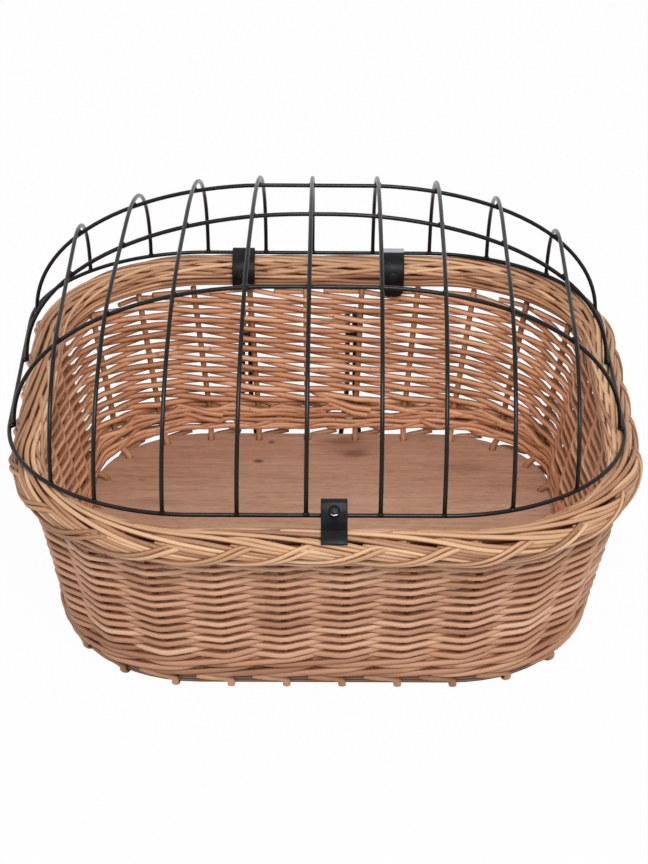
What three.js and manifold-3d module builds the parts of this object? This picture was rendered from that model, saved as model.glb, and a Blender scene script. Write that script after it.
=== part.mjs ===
// A bicycle basket: willow walls on a plywood base, with a domed wire lid.
// Millimetres. +Z is up, +X is to the right and the front faces -Y.
// The origin is the middle of the base board's underside.
import * as THREE from 'three';
import { mergeVertices } from 'three/addons/utils/BufferGeometryUtils.js';
import Module from 'manifold-3d';

const wasm = await Module();
wasm.setup();

// Clearances
const gap = 0.3; // between pieces that touch
const rodPlay = 0.35; // round a rod in the weave or in its hole

// Base board of plywood, a rounded rectangle
const boardLength = 408;
const boardWidth = 339;
const boardThickness = 12;
const straightX = 100; // half of the straight stretch of the front and back, at every height
const straightY = 84; // half of the straight stretch of the two ends

// Willow stakes: each stands in a hole in the board, runs under it and up outside its edge
const stakeCount = 30;
const stakeDiameter = 5.5;
const stakeShift = 14; // the first stake stands this far right of the middle of the front
const holeInset = 9; // from the board's edge to the middle of a stake's hole
const holeSides = 5;
const footThickness = 2.6; // of the kinked stake, pressed flat under the board
const footWidth = 6.4;
const tailLength = 32; // of the stake's end, laid along the bottom of the wall
const stakeSides = 5;

// Woven walls, which lean outward
const wallThickness = 14;
const wallFoot = 4; // middle of the wall, out from the board's edge at the bottom
const wallGap = 6; // from the top of the board to the lowest weaver
const waleHeight = 18; // of the band of heavier weaving at the bottom
const strokeRows = 5; // strokes of weaving over each stake, each for two rows of thin rods
const strokeDepth = 3; // the wall is this much thinner on each face between strokes
const hookDepth = 5.6; // middle of a hook's wire, out from the middle of the wall

// Plaited border, which is the rim
const rimLength = 500;
const rimWidth = 444;
const rimHeight = 178; // top of the rim over the underside of the board
const borderThickness = 28;
const wallUnderBorder = 4; // the wall's middle meets the border this far inside its middle
const borderSides = 8;
const plaitDepth = 3; // between two strands of the plait

// Wire lid
const wireDiameter = 3.4;
const wireSides = 6;
const weldGap = 0.35; // between two welded wires
const lidShift = -7; // the lid sits this far to one side in its straps
const lidSideReach = 8.4; // the end wires, out from the middle of the border
const rearSetback = 4; // the rear wire, behind the middle of the border
const frontSetback = 19; // the front wire, inside the middle of the border
const lidStraightX = 95;
const lidStraightY = 78;
const domeHeight = 143; // of the wires over the hoop
const domeFullness = 2.1; // 2 gives an ellipse
const endBay = 40.4; // between the last cross bow and the end wire, before the wander below
// Each bow is welded a little off even spacing: its front end and its rear end
const frontWander = [0, -16, -15, -10, -9, -4, -7, -6, -6];
const rearWander = [4, 5, 5, 6, -3, 0, 0, 0, 0];
const longBowShares = [-0.41, 0.08, 0.455]; // of half the lid's width, from its middle
const hoopSteps = 10;
const bowSteps = 17;
const longBowSteps = 20;

// Leather straps, each with a press stud
const strapWidth = 20;
const strapThickness = 2.2;
const strapLay = 0.4; // between a strap and the border under it
const rearStrapPlaces = [-72, 62];
const rearStrapEnd = 215; // degrees round the border, where the inner leaf ends
const rearStrapStart = 150; // degrees, where the strap starts under its own leaf
const rearStudAngle = 168;
const frontStrapPlace = 5;
const frontStrapEnd = 135; // degrees round the border
const frontStrapLift = 84; // degrees, where the strap leaves the border
const frontFoldHeight = 15; // top of the fold over the middle of the front wire
const frontFoldDepth = 7; // between the two leaves at the fold
const frontStudHeight = 9; // of the stud over the middle of the front wire
const studPost = 1.6;
const studCap = 4.3;
const studCapHeight = 1.8;

// Handlebar hooks: one wire each, bent double
const hookPlaces = [-70, 26];
const hookWire = 4.5;
const hookSides = 5;
const hookLegSpacing = 7; // between the middles of the two legs
const hookSplay = 5; // each leg leans sideways by this much at the bottom
const hookLift = 3.4; // and stands out by this much more there, over the stakes' ends
const hookSplayStart = 50;
const hookLiftEnd = 20;
const hookFoot = 5; // height of the legs' ends
const hookShoulder = 98; // height where the legs turn over
const handlebarRoom = 32; // inner width of the hook
const hookTip = 14; // straight part of the hook's nose

// Values worked out from the sizes above
const radians = Math.PI / 180;
const stakeRadius = stakeDiameter / 2;
const holeRadius = (stakeRadius + rodPlay) / Math.cos(Math.PI / holeSides);
const wireRadius = wireDiameter / 2;
const borderRadius = borderThickness / 2;
const borderX = rimLength / 2 - borderRadius;
const borderY = rimWidth / 2 - borderRadius;
const borderZ = rimHeight - borderRadius;
const wallBottom = boardThickness + wallGap;
const waleTop = wallBottom + waleHeight;
const strapRadius = borderRadius + strapLay + strapThickness / 2;
const notchFloor = borderZ - strapRadius - strapThickness / 2 - 2 * gap;
const stakeTop = notchFloor - gap;
const hingeY = borderY + rearSetback;
const hingeZ = rimHeight + wireRadius + gap;
const frontWireY = -borderY + frontSetback;
const lid = {
  x: lidShift,
  y: (hingeY + frontWireY) / 2,
  halfX: borderX + lidSideReach,
  halfY: (hingeY - frontWireY) / 2,
  straightX: lidStraightX,
  straightY: lidStraightY,
};
const bowSpacing = 2 * (lid.halfX - endBay) / (frontWander.length - 1);
const basket = { x: 0, y: 0, straightX, straightY };

// Materials
function finish(color, roughness, metalness) {
  return new THREE.MeshStandardMaterial({ color, roughness, metalness });
}
const willow = finish('#c99b6b', 0.6, 0);
const strawWillow = finish('#d8b27c', 0.55, 0);
const plywood = finish('#a0725a', 0.7, 0);
const blackWire = finish('#17181a', 0.35, 0.2);
const leather = finish('#1d1d20', 0.5, 0);
const studMetal = finish('#2a2b2e', 0.3, 0.9);

// Solids and booleans
function toSolid(geometry) {
  const bare = geometry.clone();
  bare.deleteAttribute('normal');
  bare.deleteAttribute('uv');
  const merged = mergeVertices(bare, 1e-4);
  return new wasm.Manifold(new wasm.Mesh({
    numProp: 3,
    vertProperties: new Float32Array(merged.attributes.position.array),
    triVerts: new Uint32Array(merged.index.array),
  }));
}

function cut(geometry, tools) {
  let solid = toSolid(geometry);
  for (const tool of tools) solid = solid.subtract(toSolid(tool));
  const mesh = solid.getMesh();
  const result = new THREE.BufferGeometry();
  result.setAttribute('position', new THREE.BufferAttribute(mesh.vertProperties, 3));
  result.setIndex(new THREE.BufferAttribute(mesh.triVerts, 1));
  return result;
}

function indexed(positions, index) {
  const geometry = new THREE.BufferGeometry();
  geometry.setAttribute('position', new THREE.Float32BufferAttribute(positions, 3));
  geometry.setIndex(index);
  return geometry;
}

// A closed ring whose section follows a rounded rectangle with quarter-ellipse corners.
// The section is a list of [half length, half width, height], counter-clockwise outward and up.
function ringSolid(section, plan, cornerSteps) {
  const positions = [];
  const corners = [[1, 1], [-1, 1], [-1, -1], [1, -1]];
  corners.forEach(([sideX, sideY], quarter) => {
    for (let step = 0; step <= cornerSteps; step++) {
      const angle = (quarter + step / cornerSteps) * 90 * radians;
      for (const [halfX, halfY, z] of section) {
        positions.push(
          plan.x + sideX * plan.straightX + (halfX - plan.straightX) * Math.cos(angle),
          plan.y + sideY * plan.straightY + (halfY - plan.straightY) * Math.sin(angle),
          z,
        );
      }
    }
  });
  const places = corners.length * (cornerSteps + 1);
  const count = section.length;
  const index = [];
  for (let i = 0; i < places; i++) {
    for (let j = 0; j < count; j++) {
      const a = i * count + j;
      const b = ((i + 1) % places) * count + j;
      const c = ((i + 1) % places) * count + ((j + 1) % count);
      const d = i * count + ((j + 1) % count);
      index.push(a, b, c, a, c, d);
    }
  }
  return indexed(positions, index);
}

// A closed ring through sections that stand round the basket. A section is a loop of points,
// each with its place along the loop, outward side first. Neighbours may differ in their points:
// at equal places, nextFirst tells which of the two moves on first.
function ringOfSections(sections, loopLength, nextFirst) {
  const positions = [];
  const starts = [];
  for (const section of sections) {
    starts.push(positions.length / 3);
    for (const { point } of section) positions.push(point.x, point.y, point.z);
  }
  const index = [];
  sections.forEach((here, s) => {
    const after = (s + 1) % sections.length;
    const next = sections[after];
    const corner = (section, start, i) => start + i % section.length;
    const place = (section, i) => (
      section[i % section.length].place + (i >= section.length ? loopLength : 0)
    );
    let i = 0;
    let j = 0;
    while (i < here.length || j < next.length) {
      const hereNext = i < here.length ? place(here, i + 1) : Infinity;
      const nextNext = j < next.length ? place(next, j + 1) : Infinity;
      const a = corner(here, starts[s], i);
      const b = corner(next, starts[after], j);
      const moveNext = hereNext === nextNext
        ? nextFirst(here, next, hereNext) : nextNext < hereNext;
      if (moveNext) {
        index.push(a, b, corner(next, starts[after], j + 1));
        j++;
      } else {
        index.push(a, b, corner(here, starts[s], i + 1));
        i++;
      }
    }
  });
  return indexed(positions, index);
}

function roundSection(halfX, halfY, z, radius, sides) {
  const section = [];
  for (let k = 0; k < sides; k++) {
    const angle = ((k + 0.5) / sides) * 360 * radians;
    const out = radius * Math.cos(angle);
    section.push([halfX + out, halfY + out, z + radius * Math.sin(angle)]);
  }
  return section;
}

// A rod through a list of points. Its half width lies along the start vector,
// carried along without twist, and its half thickness lies across that.
function rodSolid(points, halfSizes, sides, start) {
  const positions = [];
  const across = start.clone();
  const last = points.length - 1;
  points.forEach((point, i) => {
    const from = points[Math.max(i - 1, 0)];
    const to = points[Math.min(i + 1, last)];
    const along = to.clone().sub(from).normalize();
    across.addScaledVector(along, -across.dot(along)).normalize();
    const through = along.clone().cross(across);
    const [halfWidth, halfThickness] = halfSizes(i);
    for (let k = 0; k < sides; k++) {
      const angle = ((k + 0.5) / sides) * 360 * radians;
      const corner = point.clone()
        .addScaledVector(across, halfWidth * Math.cos(angle))
        .addScaledVector(through, halfThickness * Math.sin(angle));
      positions.push(corner.x, corner.y, corner.z);
    }
  });
  const index = [];
  for (let i = 0; i < last; i++) {
    for (let k = 0; k < sides; k++) {
      const next = (k + 1) % sides;
      const a = i * sides + k;
      const b = i * sides + next;
      const c = (i + 1) * sides + next;
      const d = (i + 1) * sides + k;
      index.push(a, b, c, a, c, d);
    }
  }
  const end = last * sides;
  for (let k = 1; k < sides - 1; k++) {
    index.push(0, k + 1, k);
    index.push(end, end + k, end + k + 1);
  }
  return indexed(positions, index);
}

// Outline of the board's edge and of the wall's middle, run counter-clockwise
function roundedOutline(halfX, halfY) {
  const path = new THREE.Shape();
  const corners = [[1, 1], [-1, 1], [-1, -1], [1, -1]];
  corners.forEach(([sideX, sideY], quarter) => {
    path.absellipse(
      sideX * straightX, sideY * straightY, halfX - straightX, halfY - straightY,
      quarter * 90 * radians, (quarter + 1) * 90 * radians, false,
    );
  });
  path.closePath();
  return path;
}
const boardEdge = roundedOutline(boardLength / 2, boardWidth / 2);
const edgeLength = boardEdge.getLength();

// A share of the way round an outline, counted from the middle of its front
function shareFromFront(outline, share) {
  const corner = outline.curves[0].getLength();
  const frontMiddle = (3 * corner + 3 * straightX + 2 * straightY) / outline.getLength();
  return THREE.MathUtils.euclideanModulo(frontMiddle + share, 1);
}

function alongEdgeAt(share) {
  const along = boardEdge.getTangent(shareFromFront(boardEdge, share));
  return new THREE.Vector3(along.x, along.y, 0);
}

function placeOn(outline, share, outward, z) {
  const at = shareFromFront(outline, share);
  const point = outline.getPoint(at);
  const along = outline.getTangent(at);
  return new THREE.Vector3(point.x + along.y * outward, point.y - along.x * outward, z);
}

function atEdge(share, outward, z) {
  return placeOn(boardEdge, share, outward, z);
}

// Middle of the wall's section at a height, as the half length and half width of its outline
function wallMiddle(z) {
  const rise = (z - wallBottom) / (borderZ - borderRadius - wallBottom);
  const bottomX = boardLength / 2 + wallFoot;
  const bottomY = boardWidth / 2 + wallFoot;
  return [
    bottomX + (borderX - wallUnderBorder - bottomX) * rise,
    bottomY + (borderY - wallUnderBorder - bottomY) * rise,
  ];
}
const wallTopOutline = roundedOutline(...wallMiddle(stakeTop));

// Base board
function baseBoard(stakeShares) {
  const board = roundedOutline(boardLength / 2, boardWidth / 2);
  for (const share of stakeShares) {
    const centre = atEdge(share, -holeInset, 0);
    const hole = [];
    for (let k = 0; k < holeSides; k++) {
      const angle = -k / holeSides * 2 * Math.PI;
      hole.push(new THREE.Vector2(
        centre.x + holeRadius * Math.cos(angle), centre.y + holeRadius * Math.sin(angle),
      ));
    }
    board.holes.push(new THREE.Path(hole));
  }
  return new THREE.ExtrudeGeometry(board, {
    depth: boardThickness, bevelEnabled: false, curveSegments: 6,
  });
}

// Stakes
function stakePath(share) {
  const outside = stakeRadius + rodPlay + gap / 2;
  const footZ = -gap - footThickness / 2;
  const flat = footThickness / 2;
  const wide = footWidth / 2;
  const slack = stakeRadius + gap;
  const round = [stakeRadius, stakeRadius];
  const pressed = [wide, flat];
  const kinked = [(wide + stakeRadius) / 2, (flat + stakeRadius) / 2];
  const top = wallTopOutline.getPoint(shareFromFront(wallTopOutline, share));
  const alongEdge = (length) => share - length / edgeLength;
  // [point, half sizes], from the top of the wall down through the board and out again
  return [
    [new THREE.Vector3(top.x, top.y, stakeTop), round],
    [atEdge(share, wallFoot + 1, wallBottom + 4), round],
    [atEdge(share, wallFoot - 1.5, wallBottom + 0.5), round],
    [atEdge(share, -holeInset * 0.85, boardThickness + slack - 1), round],
    [atEdge(share, -holeInset, boardThickness), round],
    [atEdge(share, -holeInset, flat), round],
    [atEdge(share, -holeInset + 2, footZ), pressed],
    [atEdge(share, outside / 2, footZ), pressed],
    [atEdge(share, outside + 0.1, flat - 0.3), kinked],
    [atEdge(share, outside, boardThickness * 0.65), round],
    [atEdge(alongEdge(tailLength * 0.1), outside + 0.5, boardThickness * 0.94), round],
    [atEdge(alongEdge(tailLength), outside + 3, wallBottom - slack - 0.2), round],
  ];
}

function stakeSolid(share) {
  const path = stakePath(share);
  const points = path.map(([point]) => point);
  return rodSolid(points, (i) => path[i][1], stakeSides, alongEdgeAt(share));
}

// A stake's channel through the wall, longer than the wall at both ends
function stakeChannel(share) {
  const path = stakePath(share).slice(0, 4).map(([point]) => point);
  path[0].addScaledVector(path[0].clone().sub(path[1]).normalize(), 2 * gap);
  const size = stakeRadius + rodPlay;
  return rodSolid(path, () => [size, size], stakeSides, alongEdgeAt(share));
}

// Walls: a heavier band at the bottom and the weave above it, up to the border
function wallFace(z, side) {
  const [halfX, halfY] = wallMiddle(z);
  const out = side * wallThickness / 2;
  return [halfX + out, halfY + out, z];
}

function bottomWale() {
  const top = waleTop - gap;
  return [
    wallFace(wallBottom, 0.6), wallFace(wallBottom + 3, 1), wallFace(top, 1),
    wallFace(top, -1), wallFace(wallBottom, -1),
  ];
}

// Sections of the weave and the border stand at each stake and halfway to the next one
const sectionCount = 2 * stakeCount;
const sectionShare = (k) => stakeShift / edgeLength + k / sectionCount;
const borderOutline = roundedOutline(borderX, borderY);

// The weave: strokes stand out over each stake, outside and inside, and between strokes
// the wall is thin. Its top edge follows the underside of the border.
function weaveSection(k, rowOutlines) {
  const share = sectionShare(k);
  const thick = wallThickness / 2;
  const thin = thick - strokeDepth;
  const face = (side) => rowOutlines.flatMap(({ outline, z }, level) => {
    const stroke = level % 2 === 1;
    if (stroke && k % 2 === 1) return [];
    const point = placeOn(outline, share, side * (stroke ? thick : thin), z);
    return [{ point, place: level / rowOutlines.length }];
  });
  const outer = thin - wallUnderBorder;
  const offsets = outer > gap ? [outer, 0, -thin - wallUnderBorder] : [outer, -thin - wallUnderBorder];
  const turn = Math.PI / borderSides;
  const top = offsets.map((offset, i) => {
    const z = borderZ - borderRadius + Math.abs(offset) * Math.tan(turn) - gap / Math.cos(turn);
    return { point: placeOn(borderOutline, share, offset, z), place: 1 + i / (offsets.length - 1) };
  });
  const inside = face(-1).reverse().map(({ point, place }) => ({ point, place: 3 - place }));
  return [...face(1), ...top, ...inside];
}

function sideWeave() {
  const rowOutlines = [];
  const rise = borderZ - borderRadius - waleTop;
  for (let level = 0; level < 2 * strokeRows; level++) {
    const z = waleTop + rise * level / (2 * strokeRows);
    rowOutlines.push({ z, outline: roundedOutline(...wallMiddle(z)) });
  }
  const sections = [];
  for (let k = 0; k < sectionCount; k++) sections.push(weaveSection(k, rowOutlines));
  return ringOfSections(sections, 4, (here, next) => next.length < here.length);
}

// The border: strands climb its outer side and run down again over its top and inner side
function plaitedBorder() {
  const sections = [];
  for (let k = 0; k < sectionCount; k++) {
    const section = [];
    for (let side = 0; side < borderSides; side++) {
      const angle = side / borderSides * 360 * radians;
      const underneath = Math.sin(angle) < -0.5 && Math.cos(angle) < 0.5;
      const between = (k + side) % 2 === 1 && !underneath;
      const radius = borderRadius - (between ? plaitDepth : 0);
      const point = placeOn(
        borderOutline, sectionShare(k), radius * Math.cos(angle), borderZ + radius * Math.sin(angle),
      );
      section.push({ point, place: side / borderSides });
    }
    sections.push(section);
  }
  const outerSide = (place) => place <= 0.2 || place > 0.8;
  return ringOfSections(sections, 1, (here, next, place) => outerSide(place));
}

// A strap's path lies in the YZ plane. A ribbon is its outline with thickness.
function ribbonSolid(path, place) {
  const edge = (side) => path.map((point, i) => {
    const from = path[Math.max(i - 1, 0)];
    const to = path[Math.min(i + 1, path.length - 1)];
    const along = to.clone().sub(from).normalize();
    const out = side * strapThickness / 2;
    return new THREE.Vector2(point.x - along.y * out, point.y + along.x * out);
  });
  const outline = new THREE.Shape([...edge(1), ...edge(-1).reverse()]);
  const ribbon = new THREE.ExtrudeGeometry(outline, { depth: strapWidth, bevelEnabled: false });
  const turn = new THREE.Matrix4().makeBasis(
    new THREE.Vector3(0, 1, 0), new THREE.Vector3(0, 0, 1), new THREE.Vector3(1, 0, 0),
  );
  ribbon.applyMatrix4(turn);
  return ribbon.translate(place - strapWidth / 2, 0, 0);
}

function arc(centre, radius, from, to, steps) {
  const points = [];
  for (let k = 0; k <= steps; k++) {
    const angle = (from + (to - from) * k / steps) * radians;
    points.push(new THREE.Vector2(
      centre.x + radius * Math.cos(angle), centre.y + radius * Math.sin(angle),
    ));
  }
  return points;
}

// Rear strap: once round the border, over the rear wire and down again over its own start
const borderBack = new THREE.Vector2(borderY, borderZ);
const rearWire = new THREE.Vector2(hingeY, hingeZ);
const leafRadius = strapRadius + strapThickness + gap;

function rearStrapPath() {
  const wireWrap = wireRadius + rodPlay + strapThickness / 2;
  const distance = borderBack.distanceTo(rearWire);
  const towards = rearWire.clone().sub(borderBack).angle() / radians;
  const outerTouch = Math.acos((strapRadius - wireWrap) / distance) / radians;
  const innerTouch = Math.acos((leafRadius - wireWrap) / distance) / radians;
  return [
    ...arc(borderBack, strapRadius, rearStrapStart, 360 + towards - outerTouch, 13),
    ...arc(rearWire, wireWrap, towards - outerTouch, towards + innerTouch, 4),
    ...arc(borderBack, leafRadius, towards + innerTouch, rearStrapEnd, 7),
  ];
}

// Front strap: from the outside of the border up to a fold over the front wire,
// then down behind the wire and round under it
const borderFront = new THREE.Vector2(-borderY, borderZ);
const frontWire = new THREE.Vector2(frontWireY, hingeZ);

function frontStrapPath() {
  const wireWrap = wireRadius + rodPlay + strapThickness / 2;
  const backLeaf = frontWire.x + wireWrap;
  const foldRadius = frontFoldDepth / 2;
  const foldTop = frontWire.y + frontFoldHeight - strapThickness / 2;
  const foldMiddle = new THREE.Vector2(backLeaf - foldRadius, foldTop - foldRadius);
  return [
    ...arc(borderFront, strapRadius, frontStrapEnd, frontStrapLift, 6),
    ...arc(foldMiddle, foldRadius, 150, 0, 5),
    ...arc(frontWire, wireWrap, 0, -150, 5),
  ];
}

// Press stud: a domed cap on a short post, turned about its own axis
function studSolid(postLength, place, point, outward) {
  const profile = [
    [0, 0], [studPost, 0], [studPost, postLength], [studCap, postLength],
    [studCap, postLength + studCapHeight * 0.45], [studCap * 0.72, postLength + studCapHeight * 0.9],
    [0, postLength + studCapHeight],
  ].map(([x, y]) => new THREE.Vector2(x, y));
  const stud = new THREE.LatheGeometry(profile, 12);
  const axis = new THREE.Vector3(0, outward.x, outward.y);
  const turn = new THREE.Quaternion().setFromUnitVectors(new THREE.Vector3(0, 1, 0), axis);
  stud.applyQuaternion(turn);
  return stud.translate(place, point.x, point.y);
}

function studHole(place, point, outward) {
  const hole = new THREE.CylinderGeometry(studPost + rodPlay, studPost + rodPlay, 8 * strapThickness, 10);
  const axis = new THREE.Vector3(0, outward.x, outward.y);
  const turn = new THREE.Quaternion().setFromUnitVectors(new THREE.Vector3(0, 1, 0), axis);
  hole.applyQuaternion(turn);
  return hole.translate(place, point.x, point.y);
}

// Wire lid. The dome is one surface: each level line is a smaller copy of the hoop.
function hoopShare(x, y) {
  const dx = Math.abs(x - lid.x);
  const dy = Math.abs(y - lid.y);
  if (dx * lid.halfY <= dy * lid.straightX) return dy / lid.halfY;
  if (dy * lid.halfX <= dx * lid.straightY) return dx / lid.halfX;
  const rx = lid.halfX - lid.straightX;
  const ry = lid.halfY - lid.straightY;
  const a = (dx / rx) ** 2 + (dy / ry) ** 2;
  const b = dx * lid.straightX / rx ** 2 + dy * lid.straightY / ry ** 2;
  const c = (lid.straightX / rx) ** 2 + (lid.straightY / ry) ** 2 - 1;
  return a / (b + Math.sqrt(b * b - a * c));
}

function domeZ(x, y) {
  const share = Math.min(hoopShare(x, y), 1);
  return hingeZ + domeHeight * (1 - share ** domeFullness) ** (1 / domeFullness);
}

// Unit vector square to the dome, from its implicit form
function domeNormal(x, y, z) {
  const step = 0.01;
  const level = (u, v, w) => hoopShare(u, v) ** domeFullness
    + ((Math.max(w, hingeZ) - hingeZ) / domeHeight) ** domeFullness;
  return new THREE.Vector3(
    level(x + step, y, z) - level(x - step, y, z),
    level(x, y + step, z) - level(x, y - step, z),
    2 * (level(x, y, z + step) - level(x, y, z)),
  ).normalize();
}

// Half of the hoop's width across Y at a place along X, and across X at a place along Y
function hoopHalfY(x) {
  const over = Math.max(Math.abs(x - lid.x) - lid.straightX, 0) / (lid.halfX - lid.straightX);
  return lid.straightY + (lid.halfY - lid.straightY) * Math.sqrt(1 - over * over);
}
function hoopHalfX(y) {
  const over = Math.max(Math.abs(y - lid.y) - lid.straightY, 0) / (lid.halfY - lid.straightY);
  return lid.straightX + (lid.halfX - lid.straightX) * Math.sqrt(1 - over * over);
}

// A bow from front to back, welded on top of the hoop at both ends
function crossBow(order) {
  const fromMiddle = order - (frontWander.length - 1) / 2;
  const even = lid.x + fromMiddle * bowSpacing;
  const front = even + frontWander[order];
  const rear = even + rearWander[order];
  const frontY = lid.y - hoopHalfY(front);
  const rearY = lid.y + hoopHalfY(rear);
  const seat = hingeZ + wireRadius + gap;
  const points = [];
  for (let k = 0; k <= bowSteps; k++) {
    const share = (1 - Math.cos(k / bowSteps * Math.PI)) / 2;
    const x = front + (rear - front) * share;
    const y = frontY + (rearY - frontY) * share;
    points.push(new THREE.Vector3(x, y, Math.max(domeZ(x, y), seat)));
  }
  return rodSolid(points, () => [wireRadius, wireRadius], wireSides, new THREE.Vector3(1, 0, 0));
}

// A bow from side to side, one wire's thickness under the cross bows and inside the hoop
function longBow(share) {
  const y = lid.y + share * lid.halfY;
  const half = hoopHalfX(y);
  const points = [];
  for (let k = 0; k <= longBowSteps; k++) {
    const x = lid.x - half * Math.cos(k / longBowSteps * Math.PI);
    const z = domeZ(x, y);
    const drop = domeNormal(x, y, z).multiplyScalar(wireDiameter + weldGap);
    points.push(new THREE.Vector3(x, y, z).sub(drop));
  }
  return rodSolid(points, () => [wireRadius, wireRadius], wireSides, new THREE.Vector3(0, 1, 0));
}

// Handlebar hook: up in the back wall, over and down behind it, round the nose and back
function hookSolid(place, grow) {
  const radius = (handlebarRoom + hookWire) / 2;
  const half = hookLegSpacing / 2;
  const legY = (z) => wallMiddle(z)[1] + hookDepth;
  const shoulderY = legY(hookShoulder);
  const leg = [hookFoot, hookLiftEnd, hookSplayStart, hookShoulder - 4].map((z) => {
    const below = Math.max(0, hookSplayStart - z);
    const splay = hookSplay * below / (hookSplayStart - hookFoot);
    const lift = hookLift * Math.min(1, below / (hookSplayStart - hookLiftEnd));
    return [half + splay, legY(z) + lift, z];
  });
  const over = [0, 1, 2, 3, 4, 5, 6, 7].map((k) => {
    const angle = k / 7 * Math.PI;
    const y = shoulderY + radius * (1 - Math.cos(angle));
    return [half, y, hookShoulder + radius * Math.sin(angle)];
  });
  const noseY = shoulderY + 2 * radius;
  const noseZ = hookShoulder - hookTip;
  const nose = [0, 1, 2, 3, 4].map((k) => {
    const angle = k / 4 * Math.PI;
    return [half * Math.cos(angle), noseY, noseZ - half * Math.sin(angle)];
  });
  const side = [...leg, ...over];
  const mirrored = side.slice().reverse().map(([x, y, z]) => [-x, y, z]);
  const points = [...side, ...nose, ...mirrored]
    .map(([x, y, z]) => new THREE.Vector3(place + x, y, z));
  const size = hookWire / 2 + grow;
  return rodSolid(points, () => [size, size], hookSides, new THREE.Vector3(1, 0, 0));
}

// Assembly
const product = new THREE.Group();

function add(group, name, geometry, material) {
  const mesh = new THREE.Mesh(geometry, material);
  mesh.name = name;
  group.add(mesh);
}

const stakeShares = [];
for (let k = 0; k < stakeCount; k++) {
  stakeShares.push(stakeShift / edgeLength + k / stakeCount);
}
add(product, 'base_board', baseBoard(stakeShares), plywood);
stakeShares.forEach((share, k) => {
  const name = `stake_${String(k + 1).padStart(2, '0')}`;
  add(product, name, stakeSolid(share), willow);
});

const channels = stakeShares.map(stakeChannel);
const hookChannels = hookPlaces.map((place) => hookSolid(place, rodPlay));
const strapNotches = rearStrapPlaces.map((place) => {
  const width = strapWidth + 2 * gap;
  const notch = new THREE.BoxGeometry(width, 4 * wallThickness, borderThickness);
  return notch.translate(place, borderY, notchFloor + borderThickness / 2);
});
const wallSteps = 7;
const wale = ringSolid(bottomWale(), basket, wallSteps);
add(product, 'bottom_wale', cut(wale, [...channels, ...hookChannels]), willow);
const weaveCuts = [...channels, ...hookChannels, ...strapNotches];
add(product, 'side_weave', cut(sideWeave(), weaveCuts), willow);
add(product, 'plaited_border', plaitedBorder(), strawWillow);

['left', 'right'].forEach((side, k) => {
  const place = rearStrapPlaces[k];
  const angle = rearStudAngle * radians;
  const outward = new THREE.Vector2(Math.cos(angle), Math.sin(angle));
  const postStart = borderRadius + strapLay + gap;
  const postEnd = leafRadius + strapThickness / 2 + gap;
  const studBase = borderBack.clone().addScaledVector(outward, postStart);
  const strap = ribbonSolid(rearStrapPath(), place);
  add(product, `rear_strap_${side}`, cut(strap, [studHole(place, studBase, outward)]), leather);
  const stud = studSolid(postEnd - postStart, place, studBase, outward);
  add(product, `rear_stud_${side}`, stud, studMetal);
  add(product, `handlebar_hook_${side}`, hookSolid(hookPlaces[k], 0), blackWire);
});

// The lid turns about the middle of its rear wire
const lidGroup = new THREE.Group();
lidGroup.position.set(0, hingeY, hingeZ);
product.add(lidGroup);

function addToLid(name, geometry, material) {
  add(lidGroup, name, geometry.translate(0, -hingeY, -hingeZ), material);
}

const hoop = roundSection(lid.halfX, lid.halfY, hingeZ, wireRadius, wireSides);
addToLid('lid_hoop', ringSolid(hoop, lid, hoopSteps), blackWire);
frontWander.forEach((_, order) => addToLid(`cross_bow_${order + 1}`, crossBow(order), blackWire));
['front', 'middle', 'rear'].forEach((name, k) => {
  addToLid(`long_bow_${name}`, longBow(longBowShares[k]), blackWire);
});

const frontPath = frontStrapPath();
const leafFrom = frontPath[6];
const leafTo = frontPath[7];
const studShare = (frontWire.y + frontStudHeight - leafFrom.y) / (leafTo.y - leafFrom.y);
const studPoint = leafFrom.clone().lerp(leafTo, studShare);
const leafAlong = leafTo.clone().sub(leafFrom).normalize();
const leafOut = new THREE.Vector2(-leafAlong.y, leafAlong.x);
const studBack = strapThickness / 2 + gap;
const studStart = studPoint.clone().addScaledVector(leafOut, -studBack);
const frontStrap = ribbonSolid(frontPath, frontStrapPlace);
const frontHole = studHole(frontStrapPlace, studPoint, leafOut);
addToLid('front_strap', cut(frontStrap, [frontHole]), leather);
addToLid('front_stud', studSolid(2 * studBack, frontStrapPlace, studStart, leafOut), studMetal);

export default product;
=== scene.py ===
"""A willow bicycle basket with a plywood base and a domed wire lid."""

import math

import bpy
import numpy as np
from mathutils import Matrix, Vector


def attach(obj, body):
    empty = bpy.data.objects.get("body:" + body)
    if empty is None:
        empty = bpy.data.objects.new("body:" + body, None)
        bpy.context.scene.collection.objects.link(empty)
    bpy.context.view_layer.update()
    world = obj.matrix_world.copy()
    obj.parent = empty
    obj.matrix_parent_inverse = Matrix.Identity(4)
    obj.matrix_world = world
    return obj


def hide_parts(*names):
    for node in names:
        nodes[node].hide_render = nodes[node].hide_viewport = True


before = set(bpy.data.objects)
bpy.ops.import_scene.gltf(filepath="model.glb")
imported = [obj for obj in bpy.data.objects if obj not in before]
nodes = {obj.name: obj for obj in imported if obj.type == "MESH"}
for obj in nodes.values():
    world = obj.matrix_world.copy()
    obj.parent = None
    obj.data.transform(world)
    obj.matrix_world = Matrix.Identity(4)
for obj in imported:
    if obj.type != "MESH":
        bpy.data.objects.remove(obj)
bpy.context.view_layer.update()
MM = 0.001
rng = np.random.default_rng(7)

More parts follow.
